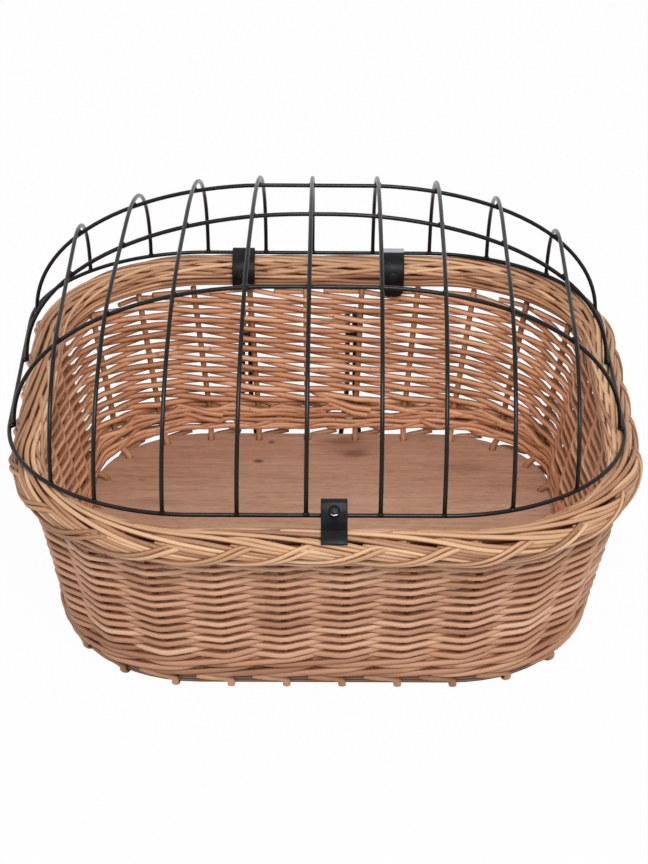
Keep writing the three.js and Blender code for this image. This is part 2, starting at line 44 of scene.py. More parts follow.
# Sizes in millimetres, as in the solids
BOARD_X, BOARD_Y, BOARD_THICK = 204.0, 169.5, 12.0   # half its length and width
STRAIGHT_X, STRAIGHT_Y = 100.0, 84.0   # half the straight part of its sides
STAKES = 30
STAKE_RADIUS = 2.75
STAKE_SHIFT = 14.0        # of the first stake from the middle of the front
STAKE_TOP = 146.5
HOLE_INSET = 9.0          # of the stakes' holes from the board's edge
TAIL_LENGTH = 32.0        # of a stake along the foot of the wall
FOOT_THICK, FOOT_WIDE = 2.6, 6.4   # of a stake where it is kinked flat under the board
WALL_FOOT = 4.0           # of the wall from the board at its foot, and from the border on top
WALL_BOTTOM, WALL_TOP = 18.0, 150.0
BORDER_X, BORDER_Y, BORDER_Z = 236.0, 208.0, 164.0   # of the middle of the border's tube
BORDER_RADIUS = 14.0
GAP = 0.3                 # between solids that rest on each other
ROD_PLAY = 0.35           # between a stake and the board, and a wire and its strap
HINGE_Y, HINGE_Z = 212.0, 180.0   # of the lid's rear wire
FRONT_WIRE_Y = -189.0
LID_X, LID_Y = -7.0, 11.5   # the middle of the hoop
LID_HALF_X, LID_HALF_Y = 244.4, 200.5
LID_STRAIGHT_X, LID_STRAIGHT_Y = 95.0, 78.0
DOME_HEIGHT, DOME_FULLNESS = 143.0, 2.1   # a fullness of 2 would be an ellipse
WIRE, WELD_GAP = 1.7, 0.35   # radius of a lid's wire, and the gap between two of them
WELD_SIZE, WELD_RISE = 2.4, 1.0   # of a bead of weld, and how far it stands over the hoop
END_BAY = 40.4            # from the side of the hoop to the first cross bow
FRONT_WANDER = [0, -16, -15, -10, -9, -4, -7, -6, -6]   # of the cross bows' front ends
REAR_WANDER = [4, 5, 5, 6, -3, 0, 0, 0, 0]              # and of their rear ends
LONG_BOW_SHARES = [-0.41, 0.08, 0.455]                  # of half the lid's width
STRAP_WIDTH, STRAP_THICK, STRAP_LAY = 20.0, 2.2, 0.4    # the last is its play on the border
REAR_PLACES, FRONT_PLACE = (-72.0, 62.0), 5.0           # of the straps
HOOK_PLACES = [-70.0, 26.0]
HOOK_RADIUS = 2.25

# Sizes of the weaving
ROW = 4.6                 # rise of one row
WEAVE_DEPTH = 5.1         # of a rod's middle, from the middle of the wall to either side
SIDE_ROD = 2.5            # radius of a weaver
BEHIND = (0.3, 0.66)      # how far before its stake a weaver starts
BUTT_DROP = 4.4           # by which a weaver's thick end lies lower
WALE_ROD, WALE_TIP = 2.6, 2.1   # radius of the wale's rods, and of their thin ends
UNDER_BORDER = 2.5        # from the last row to the top of the wall
STEPS_PER_STAKE = 10
WALE_ROUNDS, WALE_RODS, WALE_REACH = 2, 3, 31   # the reach of a rod is in stakes
WALE_DROP, WALE_RISE = 4.2, 11.3   # below the foot of the wall, and in a round
INNER_START, INNER_RISE, INNER_ROUNDS = 17.8, 5.3, 4   # of the rods along its inside
INNER_RODS, INNER_REACH = 4, 8.6   # in a round, and how many stakes one passes
INNER_CLIMB, INNER_LAG = 2.6, 2.3   # of one rod, and in stakes from round to round
BACK_LIFT = 2.8           # of the wale along the back
LANE_ANGLE = 16.7         # between rods side by side in a stroke of the border, in degrees
BORDER_REACH = 14.15      # of the border's rods where a strap or the lid's wire lies on them
RETURN_ROD = 1.95         # radius of a stroke's rods on their way down the inside
ROUND_STEPS = 240         # of a rod that closes on itself


def smooth_noise(count, knots, size):
    """A gentle random wave of count values with the given number of knots."""
    values = rng.normal(0, size, knots + 3)
    place = np.linspace(1, knots + 0.999, count)
    low = place.astype(int)
    part = place - low
    part = part * part * (3 - 2 * part)
    return values[low] * (1 - part) + values[np.minimum(low + 1, knots + 2)] * part


def closed_noise(count, knots, size):
    """Such a wave that ends where it starts."""
    ends = np.minimum(np.arange(count), count - 1 - np.arange(count)) / 12
    return smooth_noise(count, knots, size) * np.minimum(1, ends)


def through(at, places, values, reach):
    """A line through the given values, with its corners rounded."""
    shifts = np.linspace(-reach, reach, 7)
    return sum(np.interp(at + shift, places, values) for shift in shifts) / len(shifts)


def line_reach(line):
    """How far along a line each of its points lies."""
    return np.concatenate([[0], np.cumsum(np.linalg.norm(np.diff(line, axis=0), axis=1))])


QUARTER_STEPS = 72        # round a quarter of an outline


class Outline:
    """A rounded rectangle. Share 0 is the middle of the front, and shares grow to the right."""

    def __init__(self, half_x, half_y, straight_x=STRAIGHT_X, straight_y=STRAIGHT_Y):
        points = [(0.0, -half_y)]
        for quarter, (side_x, side_y) in enumerate([(1, -1), (1, 1), (-1, 1), (-1, -1)]):
            for step in range(QUARTER_STEPS + 1):
                angle = math.radians((quarter - 1 + step / QUARTER_STEPS) * 90)
                points.append((
                    side_x * straight_x + (half_x - straight_x) * math.cos(angle),
                    side_y * straight_y + (half_y - straight_y) * math.sin(angle),
                ))
        points.append((0.0, -half_y))
        self.points = np.array(points)
        self.reach = line_reach(self.points)
        self.length = self.reach[-1]

    def at(self, share):
        place = np.mod(share, 1.0) * self.length
        x = np.interp(place, self.reach, self.points[:, 0])
        y = np.interp(place, self.reach, self.points[:, 1])
        return np.stack([x, y], -1)

    def outward(self, share):
        step = 2.0 / self.length
        along = self.at(share + step) - self.at(share - step)
        along /= np.linalg.norm(along, axis=-1, keepdims=True)
        return np.stack([along[..., 1], -along[..., 0]], -1)


board_edge = Outline(BOARD_X, BOARD_Y)
wall_foot = Outline(BOARD_X + WALL_FOOT, BOARD_Y + WALL_FOOT)
wall_top = Outline(BORDER_X - WALL_FOOT, BORDER_Y - WALL_FOOT)
rim = Outline(BORDER_X, BORDER_Y)
STAKE_SHARES = STAKE_SHIFT / board_edge.length + np.arange(STAKES) / STAKES


def on_wall(share, z):
    """Points on the middle of the wall, and the outward directions there."""
    share, z = np.broadcast_arrays(np.asarray(share, float), np.asarray(z, float))
    rise = ((z - WALL_BOTTOM) / (WALL_TOP - WALL_BOTTOM))[..., None]
    flat = wall_foot.at(share) * (1 - rise) + wall_top.at(share) * rise
    out = wall_foot.outward(share) * (1 - rise) + wall_top.outward(share) * rise
    out /= np.linalg.norm(out, axis=-1, keepdims=True)
    points = np.concatenate([flat, z[..., None]], -1)
    return points, np.concatenate([out, np.zeros(z.shape + (1,))], -1)


# Rods as lines of points with their thickness and tone

def rod(points, radius, tone, outward=None, sway=None, closed=False, along_start=0.0):
    """One rod, which sways by shares of the weave's depth along its outward directions."""
    points = np.asarray(points, float)
    count = len(points)
    return dict(
        points=points,
        radius=np.broadcast_to(np.asarray(radius, float), count),
        tone=np.broadcast_to(np.asarray(tone, float), count),
        outward=np.zeros((count, 3)) if outward is None else outward,
        sway=np.zeros(count) if sway is None else sway,
        along=line_reach(points) + along_start,
        closed=closed,
    )


def rod_lines(name, rods):
    """One mesh of loose lines, with each rod's sizes kept on its points."""
    edges = []
    start = 0
    for one in rods:
        count = len(one["points"])
        edges += [(start + i, start + i + 1) for i in range(count - 1)]
        if one["closed"]:
            edges.append((start + count - 1, start))
        start += count
    mesh = bpy.data.meshes.new(name)
    points = np.concatenate([one["points"] for one in rods]) * MM
    mesh.from_pydata(points.tolist(), edges, [])
    for key, kind, size in (
        ("radius", "FLOAT", MM), ("sway", "FLOAT", 1), ("along", "FLOAT", MM),
        ("tone", "FLOAT", 1), ("outward", "FLOAT_VECTOR", 1),
    ):
        values = np.concatenate([np.asarray(one[key], float) for one in rods]) * size
        # The name "radius" is taken by curves, so rods keep theirs as "thickness"
        stored = mesh.attributes.new("thickness" if key == "radius" else key, kind, "POINT")
        stored.data.foreach_set("vector" if key == "outward" else "value", values.ravel())
    return mesh


# Node trees

def add(tree, kind, inputs=None, **settings):
    """A new node, with its settings made and its inputs linked to sockets or set to values."""
    node = tree.nodes.new(kind)
    for name, value in settings.items():
        setattr(node, name, value)
    for key, value in (inputs or {}).items():
        socket = node.inputs[key] if isinstance(key, int) else in_use(node.inputs, key)
        if isinstance(value, bpy.types.NodeSocket):
            tree.links.new(value, socket)
        else:
            socket.default_value = value
    return node


def in_use(sockets, name):
    return next(socket for socket in sockets if socket.name == name and socket.enabled)


def new_tree(kind, name, inputs, outputs):
    """A node tree, with the sockets that bring its inputs and take its outputs."""
    tree = bpy.data.node_groups.new(name, kind)
    for way, sockets in (("INPUT", inputs), ("OUTPUT", outputs)):
        for label, value_kind in sockets.items():
            tree.interface.new_socket(label, in_out=way, socket_type="NodeSocket" + value_kind)
    return tree, tree.nodes.new("NodeGroupInput").outputs, tree.nodes.new("NodeGroupOutput").inputs


def calc(tree, operation, *values, clamp=False):
    node = add(tree, "ShaderNodeMath", dict(enumerate(values)), operation=operation,
               use_clamp=clamp)
    return node.outputs[0]


def weighted(tree, *terms):
    """The sum of all terms, where a pair counts as a value times its weight."""
    total = None
    for term in terms:
        if isinstance(term, tuple):
            term = calc(tree, "MULTIPLY", *term)
        total = term if total is None else calc(tree, "ADD", total, term)
    return total


def vector_calc(tree, operation, *values):
    node = add(tree, "ShaderNodeVectorMath", dict(enumerate(values)), operation=operation)
    return node.outputs["Value" if operation in ("DOT_PRODUCT", "LENGTH") else "Vector"]


def scaled(tree, vector, size):
    return add(tree, "ShaderNodeVectorMath", {0: vector, "Scale": size},
               operation="SCALE").outputs[0]


def named(tree, name, kind="FLOAT"):
    node = add(tree, "GeometryNodeInputNamedAttribute", {"Name": name}, data_type=kind)
    return in_use(node.outputs, "Attribute")


def end_tree(tree, shape, given, result):
    """The last two nodes of a tree, which make what it grew real and give it its finish."""
    real = add(tree, "GeometryNodeRealizeInstances", {"Geometry": shape})
    dressed = add(tree, "GeometryNodeSetMaterial",
                  {"Geometry": real.outputs[0], "Material": given["Finish"]})
    tree.links.new(dressed.outputs[0], result[0])


def smoothed(tree, shape):
    return add(tree, "GeometryNodeSetShadeSmooth", {"Geometry": shape}).outputs[0]


def grow_rods_tree():
    """Sways each line in and out of the stakes and sweeps a round rod along it."""
    tree, given, result = new_tree(
        "GeometryNodeTree", "willow_rods",
        {"Geometry": "Geometry", "Weave Depth": "Float", "Sides": "Int", "Finish": "Material"},
        {"Geometry": "Geometry"},
    )
    depth = calc(tree, "MULTIPLY", named(tree, "sway"), given["Weave Depth"])
    move = add(tree, "GeometryNodeSetPosition", {
        "Geometry": given["Geometry"],
        "Offset": scaled(tree, named(tree, "outward", "FLOAT_VECTOR"), depth),
    })
    lines = add(tree, "GeometryNodeMeshToCurve", {"Mesh": move.outputs[0]})
    ring = add(tree, "GeometryNodeCurvePrimitiveCircle",
               {"Radius": 1.0, "Resolution": given["Sides"]})
    mark = add(tree, "GeometryNodeStoreNamedAttribute", {
        "Geometry": ring.outputs["Curve"], "Name": "around",
        "Value": tree.nodes.new("GeometryNodeInputPosition").outputs[0],
    }, data_type="FLOAT_VECTOR", domain="POINT")
    sweep = add(tree, "GeometryNodeCurveToMesh", {
        "Curve": lines.outputs[0], "Profile Curve": mark.outputs[0],
        "Scale": named(tree, "thickness"), "Fill Caps": True,
    })
    end_tree(tree, smoothed(tree, sweep.outputs[0]), given, result)
    return tree


def grow_beads_tree():
    """Puts a small uneven bead of weld on each point."""
    tree, given, result = new_tree(
        "GeometryNodeTree", "weld_beads",
        {"Geometry": "Geometry", "Bead Size": "Float", "Seed": "Int", "Finish": "Material"},
        {"Geometry": "Geometry"},
    )
    ball = add(tree, "GeometryNodeMeshIcoSphere", {"Radius": 1.0, "Subdivisions": 3})
    chance = add(tree, "FunctionNodeRandomValue", {
        "Min": (0.85, 0.8, 0.75), "Max": (1.2, 1.15, 1.1), "Seed": given["Seed"],
    }, data_type="FLOAT_VECTOR")
    spots = add(tree, "GeometryNodeInstanceOnPoints", {
        "Points": given["Geometry"], "Instance": smoothed(tree, ball.outputs["Mesh"]),
        "Scale": scaled(tree, chance.outputs[0], given["Bead Size"]),
    })
    end_tree(tree, spots.outputs[0], given, result)
    return tree


rod_tree = grow_rods_tree()
bead_tree = grow_beads_tree()


def placed(name, data):
    """A new object in the scene."""
    made = bpy.data.objects.new(name, data)
    bpy.context.scene.collection.objects.link(made)
    return made


def grow(name, mesh, tree, **values):
    """Runs a tree on a mesh and keeps what comes out as a plain mesh object."""
    source = placed(name + "_lines", mesh)
    modifier = source.modifiers.new("grow", "NODES")
    modifier.node_group = tree
    for socket in tree.interface.items_tree:
        label = socket.name.lower().replace(" ", "_")
        if socket.in_out == "INPUT" and label in values:
            modifier[socket.identifier] = values[label]
    bpy.context.view_layer.update()
    shown = source.evaluated_get(bpy.context.evaluated_depsgraph_get())
    made = bpy.data.meshes.new_from_object(shown)
    made.name = name
    source.modifiers.clear()
    bpy.data.objects.remove(source)
    return placed(name, made)


def grow_rods(name, rods, finish, sides=8):
    return grow(name, rod_lines(name + "_rods", rods), rod_tree,
                weave_depth=WEAVE_DEPTH * MM, sides=sides, finish=finish)


def mesh_piece(name, points, faces, material, **kept):
    """A piece from points in millimetres and faces, with values kept on its points."""
    mesh = bpy.data.meshes.new(name)
    mesh.from_pydata((np.asarray(points) * MM).tolist(), [], faces)
    for key, values in kept.items():
        values = np.asarray(values, float)
        kind = "FLOAT_VECTOR" if values.ndim == 2 else "FLOAT"
        stored = mesh.attributes.new(key, kind, "POINT")
        stored.data.foreach_set("vector" if values.ndim == 2 else "value", values.ravel())
    mesh.materials.append(material)
    mesh.polygons.foreach_set("use_smooth", [True] * len(mesh.polygons))
    mesh.update()
    return placed(name, mesh)


def tube_faces(rings, sides, base=0):
    """Faces round a tube, from each ring of points to the next, and a cap at both ends."""
    faces = []
    for i in range(rings - 1):
        for k in range(sides):
            a, b = base + i * sides + k, base + i * sides + (k + 1) % sides
            faces.append((a, b, b + sides, a + sides))
    end = base + (rings - 1) * sides
    return faces + [tuple(range(base + sides - 1, base - 1, -1)), tuple(range(end, end + sides))]


def hermite(points, per_step):
    """A smooth line through points, with steps in proportion to their spacing."""
    points = np.asarray(points, float)
    steps = np.linalg.norm(np.diff(points, axis=0), axis=1)
    slopes = np.diff(points, axis=0) / steps[:, None]
    tangents = np.empty_like(points)
    tangents[0], tangents[-1] = slopes[0], slopes[-1]
    before, after = steps[:-1, None], steps[1:, None]
    tangents[1:-1] = (slopes[:-1] * after + slopes[1:] * before) / (before + after)
    result, places = [], []
    for i, step in enumerate(steps):
        for k in range(per_step if i < len(steps) - 1 else per_step + 1):
            t = k / per_step
            result.append(
                (2 * t**3 - 3 * t**2 + 1) * points[i] + (t**3 - 2 * t**2 + t) * step * tangents[i]
                + (3 * t**2 - 2 * t**3) * points[i + 1] + (t**3 - t**2) * step * tangents[i + 1]
            )
            places.append(i + t)
    return np.array(result), np.array(places)


# Materials

def linear(red, green, blue):
    """A colour as it shows, from 0 to 255, turned into what the shaders take."""
    def one(value):
        value /= 255
        return value / 12.92 if value <= 0.04045 else ((value + 0.055) / 1.055) ** 2.4
    return (one(red), one(green), one(blue), 1.0)


def new_material(name, roughness, metallic=0.0, shine=0.5):
    material = bpy.data.materials.new(name)
    material.use_nodes = True
    shader = material.node_tree.nodes["Principled BSDF"]
    shader.inputs["Roughness"].default_value = roughness
    shader.inputs["Metallic"].default_value = metallic
    shader.inputs["Specular IOR Level"].default_value = shine
    return material, material.node_tree, shader


def ramp(tree, value, stops):
    """The colour that a value takes between the given stops."""
    node = add(tree, "ShaderNodeValToRGB", {0: value})
    while len(node.color_ramp.elements) < len(stops):
        node.color_ramp.elements.new(0.5)
    for element, (place, color) in zip(node.color_ramp.elements, stops):
        element.position = place
        element.color = color
    return node.outputs[0]


def noise(tree, vector, scale, detail=3.0, roughness=0.5):
    node = add(tree, "ShaderNodeTexNoise", {
        "Vector": vector, "Scale": scale, "Detail": detail, "Roughness": roughness,
    })
    return node.outputs["Fac"]


def stretch(tree, vector, sizes, shift=(0, 0, 0)):
    node = add(tree, "ShaderNodeMapping", {"Vector": vector, "Scale": sizes, "Location": shift})
    return node.outputs["Vector"]


def split(tree, vector):
    return add(tree, "ShaderNodeSeparateXYZ", {0: vector}).outputs


def attribute(tree, name, output="Fac"):
    return add(tree, "ShaderNodeAttribute", attribute_name=name).outputs[output]


def object_place(tree):
    return tree.nodes.new("ShaderNodeTexCoord").outputs["Object"]


def face_normal(tree):
    return tree.nodes.new("ShaderNodeNewGeometry").outputs["Normal"]


def mix_color(tree, factor, first, second, blend="MIX"):
    node = add(tree, "ShaderNodeMix", {"Factor": factor, "A": first, "B": second},
               data_type="RGBA", blend_type=blend)
    return in_use(node.outputs, "Result")


def between(tree, value, low, high, kind="LINEAR"):
    """0 up to low, 1 from high on and in between on the way."""
    node = add(tree, "ShaderNodeMapRange", {"Value": value, "From Min": low, "From Max": high},
               interpolation_type=kind)
    return node.outputs[0]


def dress(tree, shader, color, roughness, height, strength, depth):
    """Links a shader's colour, its roughness where that varies, and its bump."""
    bump = add(tree, "ShaderNodeBump", {"Strength": strength, "Distance": depth, "Height": height})
    tree.links.new(color, shader.inputs["Base Color"])
    if roughness:
        tree.links.new(roughness, shader.inputs["Roughness"])
    tree.links.new(bump.outputs[0], shader.inputs["Normal"])


def bark_group():
    """Streaks along a peeled rod, small dark buds, and the height for its bump."""
    group, given, result = new_tree(
        "ShaderNodeTree", "peeled_bark", {"Streak Size": "Float", "Bud Amount": "Float"},
        {"Streak": "Float", "Bud": "Float", "Height": "Float"},
    )
    along, tone = attribute(group, "along"), attribute(group, "tone")
    across = split(group, attribute(group, "around", "Vector"))

    def on_rod(wide, long, shift):
        """A place on the rod's skin, moved on by the rod's own tone."""
        return add(group, "ShaderNodeCombineXYZ", {
            0: calc(group, "MULTIPLY", across[0], wide),
            1: calc(group, "MULTIPLY", across[1], wide),
            2: weighted(group, (along, long), (tone, shift)),
        }).outputs[0]

    streak = noise(group, on_rod(2.6, 14.0, 57.0), given["Streak Size"], 4.0)
    bud = calc(group, "SUBTRACT", noise(group, on_rod(0.8, 60.0, 91.0), 1.0, 1.0), 0.72)
    strong = calc(group, "MULTIPLY", calc(group, "MULTIPLY", bud, given["Bud Amount"]), 12.0,
                  clamp=True)
    for label, value in (
        ("Streak", streak), ("Bud", strong), ("Height", weighted(group, streak, (strong, 0.8))),
    ):
        group.links.new(value, result[label])
    return group


def crease_shade_group():
    """1 on the flanks of a rod, which lie in the creases between it and its neighbours, where shade
    is painted.
    """
    group, _, result = new_tree("ShaderNodeTree", "rod_creases", {}, {"Crease": "Float"})
    facing = vector_calc(group, "DOT_PRODUCT", face_normal(group),
                         attribute(group, "outward", "Vector"))
    crease = between(group, calc(group, "ABSOLUTE", facing), 0.80, 0.12, "SMOOTHSTEP")
    group.links.new(crease, result["Crease"])
    return group


bark = bark_group()
painted_crease_shade = crease_shade_group()


def facing_inward(tree, place):
    """1 on faces that look into the basket, where the willow takes a tint of painted light."""
    away = vector_calc(tree, "NORMALIZE", vector_calc(tree, "MULTIPLY", place, (1, 1, 0)))
    return between(tree, vector_calc(tree, "DOT_PRODUCT", away, face_normal(tree)), 0.1, -0.5)


# Heights over which the painted shade on the stakes' outer side comes in, just above the board
STAKE_SHADE_LEVELS = (16 * MM, 24 * MM)


def willow(name, dark, middle, pale, bud_color, inner_light_tint, crease_shade_tint=None, hidden_shade_tint=None):
    """Peeled willow, with a tint of painted light on the inside of the basket, painted shade in the
    creases between rods, and painted shade on the outer side of the stakes, which is seen only deep
    between the rods."""
    material, tree, shader = new_material(name, 0.5)
    skin = add(tree, "ShaderNodeGroup", node_tree=bark)
    skin.inputs["Streak Size"].default_value = 1.6
    skin.inputs["Bud Amount"].default_value = 1.0
    streak = skin.outputs["Streak"]
    place = object_place(tree)
    spread = weighted(tree, (attribute(tree, "tone"), 0.55), (noise(tree, place, 14.0, 2.0), 0.25),
                      (streak, 0.30))
    color = ramp(tree, spread, [(0.18, dark), (0.52, middle), (0.88, pale)])
    color = mix_color(tree, skin.outputs["Bud"], color, bud_color)
    # Painted light: a tint on faces that look into the basket, which lightens the weave and the
    # border
    color = mix_color(tree, facing_inward(tree, place), color, inner_light_tint, "MULTIPLY")
    # Painted shade: the flanks of each rod are darkened, as if shadowed in the creases
    if crease_shade_tint:
        crease_shade_mask = add(tree, "ShaderNodeGroup", node_tree=painted_crease_shade).outputs[0]
        color = mix_color(tree, crease_shade_mask, color, crease_shade_tint, "MULTIPLY")
    # Painted shade: the outer side of the stakes above the board is darkened, as if shaded by the
    # rods
    if hidden_shade_tint:
        above = between(tree, split(tree, place)[2], *STAKE_SHADE_LEVELS)
        outer = calc(tree, "SUBTRACT", above, facing_inward(tree, place))
        color = mix_color(tree, between(tree, outer, 0.0, 1.0), color, hidden_shade_tint, "MULTIPLY")
    dress(tree, shader, color, weighted(tree, (streak, 0.25), 0.38),
          skin.outputs["Height"], 0.35, 0.4 * MM)
    return material


# After the bud colour come a tint of painted light for the inside, then painted shade for the
# creases, or for the stakes painted shade on their outer side
weave_willow = willow(
    "buff_willow", linear(152, 102, 70), linear(200, 149, 115), linear(230, 187, 154),
    linear(92, 54, 34), (1.19, 1.12, 1.05, 1.0), (0.56, 0.46, 0.39, 1.0),
)
border_willow = willow(
    "straw_willow", linear(120, 77, 50), linear(189, 142, 104), linear(230, 188, 149),
    linear(104, 64, 40), (1.28, 1.30, 1.36, 1.0), (0.41, 0.29, 0.21, 1.0),
)
stake_willow = willow(
    "stake_willow", linear(142, 96, 64), linear(180, 130, 92), linear(208, 162, 122),
    linear(96, 58, 38), (1.04, 0.97, 0.87, 1.0), None, (0.42, 0.34, 0.29, 1.0),
)

# Knots and stains on the board: place, half width and half depth in millimetres, strength
BOARD_KNOTS = [((25.0, 146.0), (34.0, 19.0), 0.36), ((29.0, 137.0), (17.0, 8.0), 0.62),
               ((19.0, 157.0), (24.0, 7.0), 0.55), ((-58.0, 124.0), (5.4, 4.2), 0.9),
               ((-47.0, 155.0), (4.0, 3.4), 0.9), ((-148.0, 60.0), (30.0, 9.0), 0.3),
               ((128.0, 118.0), (30.0, 12.0), 0.32), ((62.0, -92.0), (4.2, 2.8), 0.9)]
PLY = 2.6                 # thickness of two plies of the board
PLY_WAVE = 0.6            # by which the plies wander up and down


def knot_mask(tree, place, ragged, middle, halves):
    """1 in the middle of a knot and 0 outside it, with a ragged edge."""
    scale = [1 / (half * MM) for half in halves]
    shift = [-at * MM * size for at, size in zip(middle, scale)]
    far = vector_calc(tree, "LENGTH", stretch(tree, place, (*scale, 0.0), (*shift, 0.0)))
    return between(tree, calc(tree, "ADD", far, ragged), 1.6, 0.85)


def plywood():
    """Veneer on the faces with painted shade along the back, and plies on the edge and in the
    holes, darkened with painted shade.
    """
    material, tree, shader = new_material("base_plywood", 0.6)
    place = object_place(tree)
    across = split(tree, place)

    def grain(sizes, detail, roughness=0.5):
        return noise(tree, stretch(tree, place, sizes), 1.0, detail, roughness)

    fine_grain = grain((120.0, 1300.0, 60.0), 4.0, 0.75)
    plies = ply_bands(tree, weighted(tree, across[2], (grain((6.0, 6.0, 6.0), 2.0), PLY_WAVE * MM)))
    upright = calc(tree, "ABSOLUTE", split(tree, face_normal(tree))[2])
    color = mix_color(tree, calc(tree, "LESS_THAN", upright, 0.5),
                      veneer(tree, place, across[1], grain, fine_grain), plies)
    dress(tree, shader, color, None, fine_grain, 0.25, 0.3 * MM)
    return material


def veneer(tree, place, to_back, grain, fine_grain):
    """Streaked along the board, with dark specks, with knots and stains in their places, and with
    painted shade along the back.
    """
    level = weighted(tree, (grain((14.0, 260.0, 30.0), 5.0, 0.65), 0.38), (fine_grain, 0.50),
                     (grain((3.0, 22.0, 10.0), 2.0), 0.17))
    face = ramp(tree, level, [
        (0.36, linear(146, 100, 76)), (0.50, linear(184, 140, 114)), (0.66, linear(206, 166, 142)),
    ])
    specks = ramp(tree, grain((26.0, 90.0, 1.0), 1.0), [
        (0.76, (0, 0, 0, 1)), (0.81, (0.8, 0.8, 0.8, 1)),
    ])
    face = mix_color(tree, specks, face, linear(96, 58, 44))
    ragged = calc(tree, "MULTIPLY", grain((45.0, 150.0, 1.0), 4.0), 1.1)
    for middle, halves, strength in BOARD_KNOTS:
        mask = knot_mask(tree, place, ragged, middle, halves)
        face = mix_color(tree, calc(tree, "MULTIPLY", mask, strength), face, linear(112, 68, 50))
    # Painted shade: the board darkens towards its back, under the back wall
    painted_back_shade = mix_color(tree, between(tree, to_back, 60 * MM, 165 * MM), (1, 1, 1, 1),
                      (0.87, 0.83, 0.80, 1))
    return mix_color(tree, 1.0, face, painted_back_shade, "MULTIPLY")


def ply_bands(tree, height):
    """Dark and pale plies in turn, all of them darkened as painted shade on the board's edge."""
    bands = calc(tree, "FRACT", calc(tree, "MULTIPLY", height, 1 / (PLY * MM)))
    return ramp(tree, bands, [
        (0.0, linear(74, 48, 36)), (0.46, linear(94, 62, 46)), (0.52, linear(158, 118, 92)),
        (0.97, linear(150, 110, 84)), (1.0, linear(74, 48, 36)),
    ])


def coated(name, color, roughness, grain_scale, grain_depth, metallic=0.0, shine=0.22):
    """Black powder coat or plastic skin on metal."""
    material, tree, shader = new_material(name, roughness, metallic, shine)
    place = object_place(tree)
    wear = noise(tree, place, 60.0, 3.0)
    worn_and_highlit = tuple(part * 1.7 for part in color[:3]) + (1.0,)
    dress(tree, shader, ramp(tree, wear, [(0.3, color), (0.8, worn_and_highlit)]),
          weighted(tree, (wear, 0.2), roughness - 0.1),
          noise(tree, place, grain_scale, 2.0), 0.3, grain_depth)
    return material


def leather(name, fold_highlight):
    """Grained black leather, with a painted highlight on top of the fold over the lid's wire."""
    material, tree, shader = new_material(name, 0.42, 0.0, 0.18)
    place = object_place(tree)
    cells = add(tree, "ShaderNodeTexVoronoi", {"Vector": place, "Scale": 900.0},
                feature="DISTANCE_TO_EDGE")
    folds = noise(tree, place, 180.0, 3.0)
    black = ramp(tree, noise(tree, place, 45.0, 3.0), [
        (0.3, linear(9, 9, 12)), (0.75, linear(21, 22, 26)),
    ])
    # Painted highlight: a pale strip on top of the fold over the lid's wire
    on_top = between(tree, split(tree, face_normal(tree))[2], 0.7, 0.85)
    on_wire = between(tree, split(tree, place)[1], (HINGE_Y - 5.2) * MM, (HINGE_Y - 4.2) * MM)
    fold = calc(tree, "MULTIPLY", calc(tree, "MULTIPLY", on_top, on_wire), fold_highlight)
    dress(tree, shader, mix_color(tree, fold, black, linear(190, 192, 198)),
          weighted(tree, (folds, 0.3), 0.25),
          weighted(tree, (cells.outputs["Distance"], 0.6), folds), 0.3, 0.2 * MM)
    return material


base_plywood = plywood()
powder_coat = coated("powder_coat", linear(8, 8, 9), 0.25, 2500.0, 0.06 * MM, 0.0, 0.26)
hook_coat = coated("hook_coat", linear(20, 20, 22), 0.45, 1800.0, 0.08 * MM)
stud_plate = coated("stud_plate", linear(9, 9, 11), 0.38, 1200.0, 0.02 * MM, 0.0, 0.15)
# Bright metal for the painted highlight along the bottom of the front stud
worn_steel = coated("worn_steel", linear(225, 225, 228), 0.25, 1200.0, 0.02 * MM, 1.0, 0.5)
strap_leather = leather("black_leather", 0.0)
# Leather with the painted highlight on its fold
worn_leather = leather("worn_leather", 0.9)


# Camera at the photograph's angle
CAMERA_PLACE = Vector((-21.3, -1524.0, 1155.6)) * MM
FOCAL_PIXELS, FRAME_HEIGHT, SENSOR = 2202.1, 864.0, 36.0
right = Vector((0.9999, -0.0066, 0.0103)).normalized()
forward = Vector((0.0112, 0.8291, -0.5590)).normalized()
upward = right.cross(forward).normalized()
camera_data = bpy.data.cameras.new("camera")
camera_data.sensor_fit = "VERTICAL"
camera_data.sensor_height = SENSOR
camera_data.lens = FOCAL_PIXELS * SENSOR / FRAME_HEIGHT
camera_data.dof.use_dof = False
camera_data.clip_end = 50.0
camera = placed("camera", camera_data)
turn = Matrix((right, upward, -forward)).transposed().to_4x4()
camera.matrix_world = Matrix.Translation(CAMERA_PLACE) @ turn
bpy.context.scene.camera = camera


# Weaving

def in_and_out(stakes):
    """-1 inside and 1 outside, alternately at whole numbers of stakes, and nearly straight
    from one to the next."""
    wave = np.cos(np.pi * stakes) + np.cos(3 * np.pi * stakes) / 9 + np.cos(5 * np.pi * stakes) / 25
    return -wave / 1.151


# How far a weaver has climbed, in rows, from one stake that it passes inside to the next
CLIMB_PLACES = [0.0, 0.5, 1.0, 1.5, 2.0]
CLIMB_ROWS = [0.0, 0.18, 0.56, 1.10, 2.0]


def climbed(stakes):
    pair = np.floor(stakes / 2)
    return 2 * pair + np.interp(stakes - 2 * pair, CLIMB_PLACES, CLIMB_ROWS)


def softened(values, reach):
    """The average over a few neighbours, which rounds off kinks."""
    padded = np.pad(values, reach, mode="reflect", reflect_type="odd")
    return np.convolve(padded, np.ones(2 * reach + 1) / (2 * reach + 1), mode="valid")


